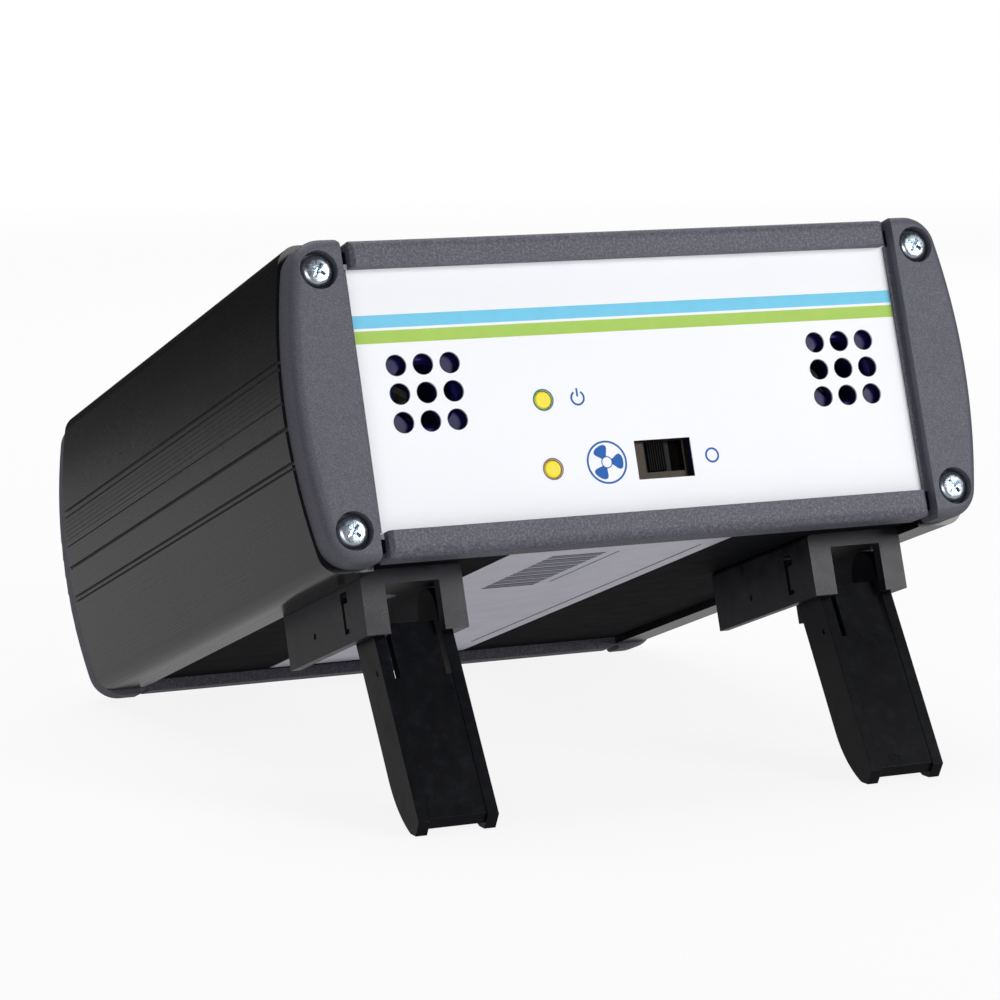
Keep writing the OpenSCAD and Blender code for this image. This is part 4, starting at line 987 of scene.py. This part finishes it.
class BLOWER_OT_stage(bpy.types.Operator):
    """Pale floor, soft studio light and the camera"""

    bl_idname = "blower.stage"
    bl_label = "Stage"

    FLOOR_HALF = 12.0  # half the floor's side, in metres
    FLOOR_SEEN = (0.3, 2.0, 0.88, 1.0)  # glow in the camera's view: from, to (metres), near share, far share
    FLOOR_MIRRORED = (0.2, 1.1, 0.46, 0.09)  # brightness of the floor in glossy reflections, the same way
    WORLD_STRENGTH = 0.03  # of the world, to all but what the camera sees directly or through glass
    LAMPS = (  # name, place from the blower's centre and side (metres), watts
        ("key", (0.84, -1.3, 0.62), 0.7, 17.4),
        ("top", (-0.1, 0.45, 1.2), 1.2, 14.0),
        ("back", (0.7, 0.9, 0.5), 0.6, 3.0),
        ("fill", (-0.9, -1.2, 0.15), 1.0, 8.3),
    )
    LENS, SENSOR = 124.9, 36.0  # focal length and sensor width, in mm
    EYE = (-258.24, -506.0, -104.65)  # the camera's place in the housing's frame, in mm
    FORWARD, UP = (0.40833, 0.89964, 0.15462), (0.06674, -0.19836, 0.97786)

    def execute(self, context):
        self.floor()
        self.lights()
        self.camera(context)
        return {"FINISHED"}

    def floor(self):
        bm = bmesh.new()
        bmesh.ops.create_grid(bm, x_segments=4, y_segments=4, size=self.FLOOR_HALF)
        mesh = bpy.data.meshes.new("floor")
        bm.to_mesh(mesh)
        bm.free()
        floor = bpy.data.objects.new("floor", mesh)
        collection().objects.link(floor)
        material = bpy.data.materials.new("floor_white")
        material.use_nodes = True
        tree = material.node_tree
        tree.nodes.clear()
        out, mix = tree.nodes.new("ShaderNodeOutputMaterial"), tree.nodes.new("ShaderNodeMixShader")
        paper, glow = tree.nodes.new("ShaderNodeBsdfDiffuse"), tree.nodes.new("ShaderNodeEmission")
        path, place = tree.nodes.new("ShaderNodeLightPath"), tree.nodes.new("ShaderNodeTexCoord")
        far = tree.nodes.new("ShaderNodeVectorMath")
        far.operation = "LENGTH"
        tree.links.new(place.outputs["Object"], far.inputs[0])
        paper.inputs["Color"].default_value = (0.8, 0.8, 0.81, 1)
        glow.inputs["Color"].default_value = (1, 1, 1, 1)

        def node(operation, first, second):
            maths = tree.nodes.new("ShaderNodeMath")
            maths.operation = operation
            for socket, value in zip(maths.inputs, (first, second)):
                if isinstance(value, bpy.types.NodeSocket):
                    tree.links.new(value, socket)
                else:
                    socket.default_value = value
            return maths.outputs[0]

        def fade(start, end, first, last):
            ramp = tree.nodes.new("ShaderNodeMapRange")
            tree.links.new(far.outputs["Value"], ramp.inputs["Value"])
            for key, number in zip(("From Min", "From Max", "To Min", "To Max"), (start, end, first, last)):
                ramp.inputs[key].default_value = number
            return ramp.outputs["Result"]

        seen = node("MULTIPLY", path.outputs["Is Camera Ray"], fade(*self.FLOOR_SEEN))
        mirrored = path.outputs["Is Glossy Ray"]
        dimming = node("SUBTRACT", 1.0, fade(*self.FLOOR_MIRRORED))
        tree.links.new(node("SUBTRACT", 1.0, node("MULTIPLY", mirrored, dimming)), glow.inputs["Strength"])
        tree.links.new(node("MAXIMUM", seen, mirrored), mix.inputs[0])
        tree.links.new(paper.outputs[0], mix.inputs[1])
        tree.links.new(glow.outputs[0], mix.inputs[2])
        tree.links.new(mix.outputs[0], out.inputs[0])
        mesh.materials.append(material)

    def lights(self):
        world = bpy.data.worlds.new("studio")
        bpy.context.scene.world = world
        world.use_nodes = True
        tree = world.node_tree
        tree.nodes.clear()
        out, back = tree.nodes.new("ShaderNodeOutputWorld"), tree.nodes.new("ShaderNodeBackground")
        path, most = tree.nodes.new("ShaderNodeLightPath"), tree.nodes.new("ShaderNodeMath")
        spread = tree.nodes.new("ShaderNodeMapRange")
        most.operation = "MAXIMUM"
        tree.links.new(path.outputs["Is Camera Ray"], most.inputs[0])
        tree.links.new(path.outputs["Is Transmission Ray"], most.inputs[1])
        tree.links.new(most.outputs[0], spread.inputs["Value"])
        spread.inputs["To Min"].default_value = self.WORLD_STRENGTH
        spread.inputs["To Max"].default_value = 1.0
        tree.links.new(spread.outputs["Result"], back.inputs["Strength"])
        back.inputs["Color"].default_value = (1, 1, 1, 1)
        tree.links.new(back.outputs[0], out.inputs[0])
        low, high = CAD_BOX
        centre = (low + high) / 2
        for name, place, size, power in self.LAMPS:
            data = bpy.data.lights.new(name, "AREA")
            data.energy = power
            data.size = size
            light = bpy.data.objects.new(name, data)
            collection().objects.link(light)
            light.location = centre + Vector(place)
            light.rotation_euler = (centre - light.location).to_track_quat("-Z", "Y").to_euler()

    def camera(self, context):
        forward = Vector(self.FORWARD).normalized()
        right = forward.cross(Vector(self.UP)).normalized()
        up = right.cross(forward)
        turn = Matrix((right, up, -forward)).transposed().to_4x4()
        turn.translation = Vector(self.EYE) * MM
        data = bpy.data.cameras.new("camera")
        data.lens = self.LENS
        data.sensor_width = self.SENSOR
        data.clip_start, data.clip_end = 0.01, 100
        camera = bpy.data.objects.new("camera", data)
        collection().objects.link(camera)
        camera.matrix_world = HOUSING @ turn
        context.scene.camera = camera
        context.scene.view_settings.view_transform = "Standard"


class BLOWER_PT_panel(bpy.types.Panel):
    """Sizes, colours and steps of the blower's dressing"""

    bl_idname = "BLOWER_PT_panel"
    bl_label = "Ionizing Blower"
    bl_space_type = "VIEW_3D"
    bl_region_type = "UI"
    bl_category = "Blower"

    def draw(self, context):
        layout = self.layout
        for group in (context.scene.blower_sizes, context.scene.blower_colours):
            box = layout.box()
            for key in group.__annotations__:
                box.prop(group, key)
        for step in STEPS:
            layout.operator(step.bl_idname)


STEPS = (
    BLOWER_OT_finishes,
    BLOWER_OT_mouldings,
    BLOWER_OT_screws,
    BLOWER_OT_stripes,
    BLOWER_OT_signs,
    BLOWER_OT_label_print,
    BLOWER_OT_hole_rims,
    BLOWER_OT_stage,
)
CLASSES = (BlowerColours, BlowerSizes, *STEPS, BLOWER_PT_panel)


def register():
    for cls in CLASSES:
        bpy.utils.register_class(cls)
    bpy.types.Scene.blower_colours = PointerProperty(type=BlowerColours)
    bpy.types.Scene.blower_sizes = PointerProperty(type=BlowerSizes)


def unregister():
    del bpy.types.Scene.blower_sizes
    del bpy.types.Scene.blower_colours
    for cls in reversed(CLASSES):
        bpy.utils.unregister_class(cls)


def main():
    register()
    for step in STEPS:
        area, name = step.bl_idname.split(".")
        getattr(getattr(bpy.ops, area), name)()


if __name__ == "__main__":
    main()
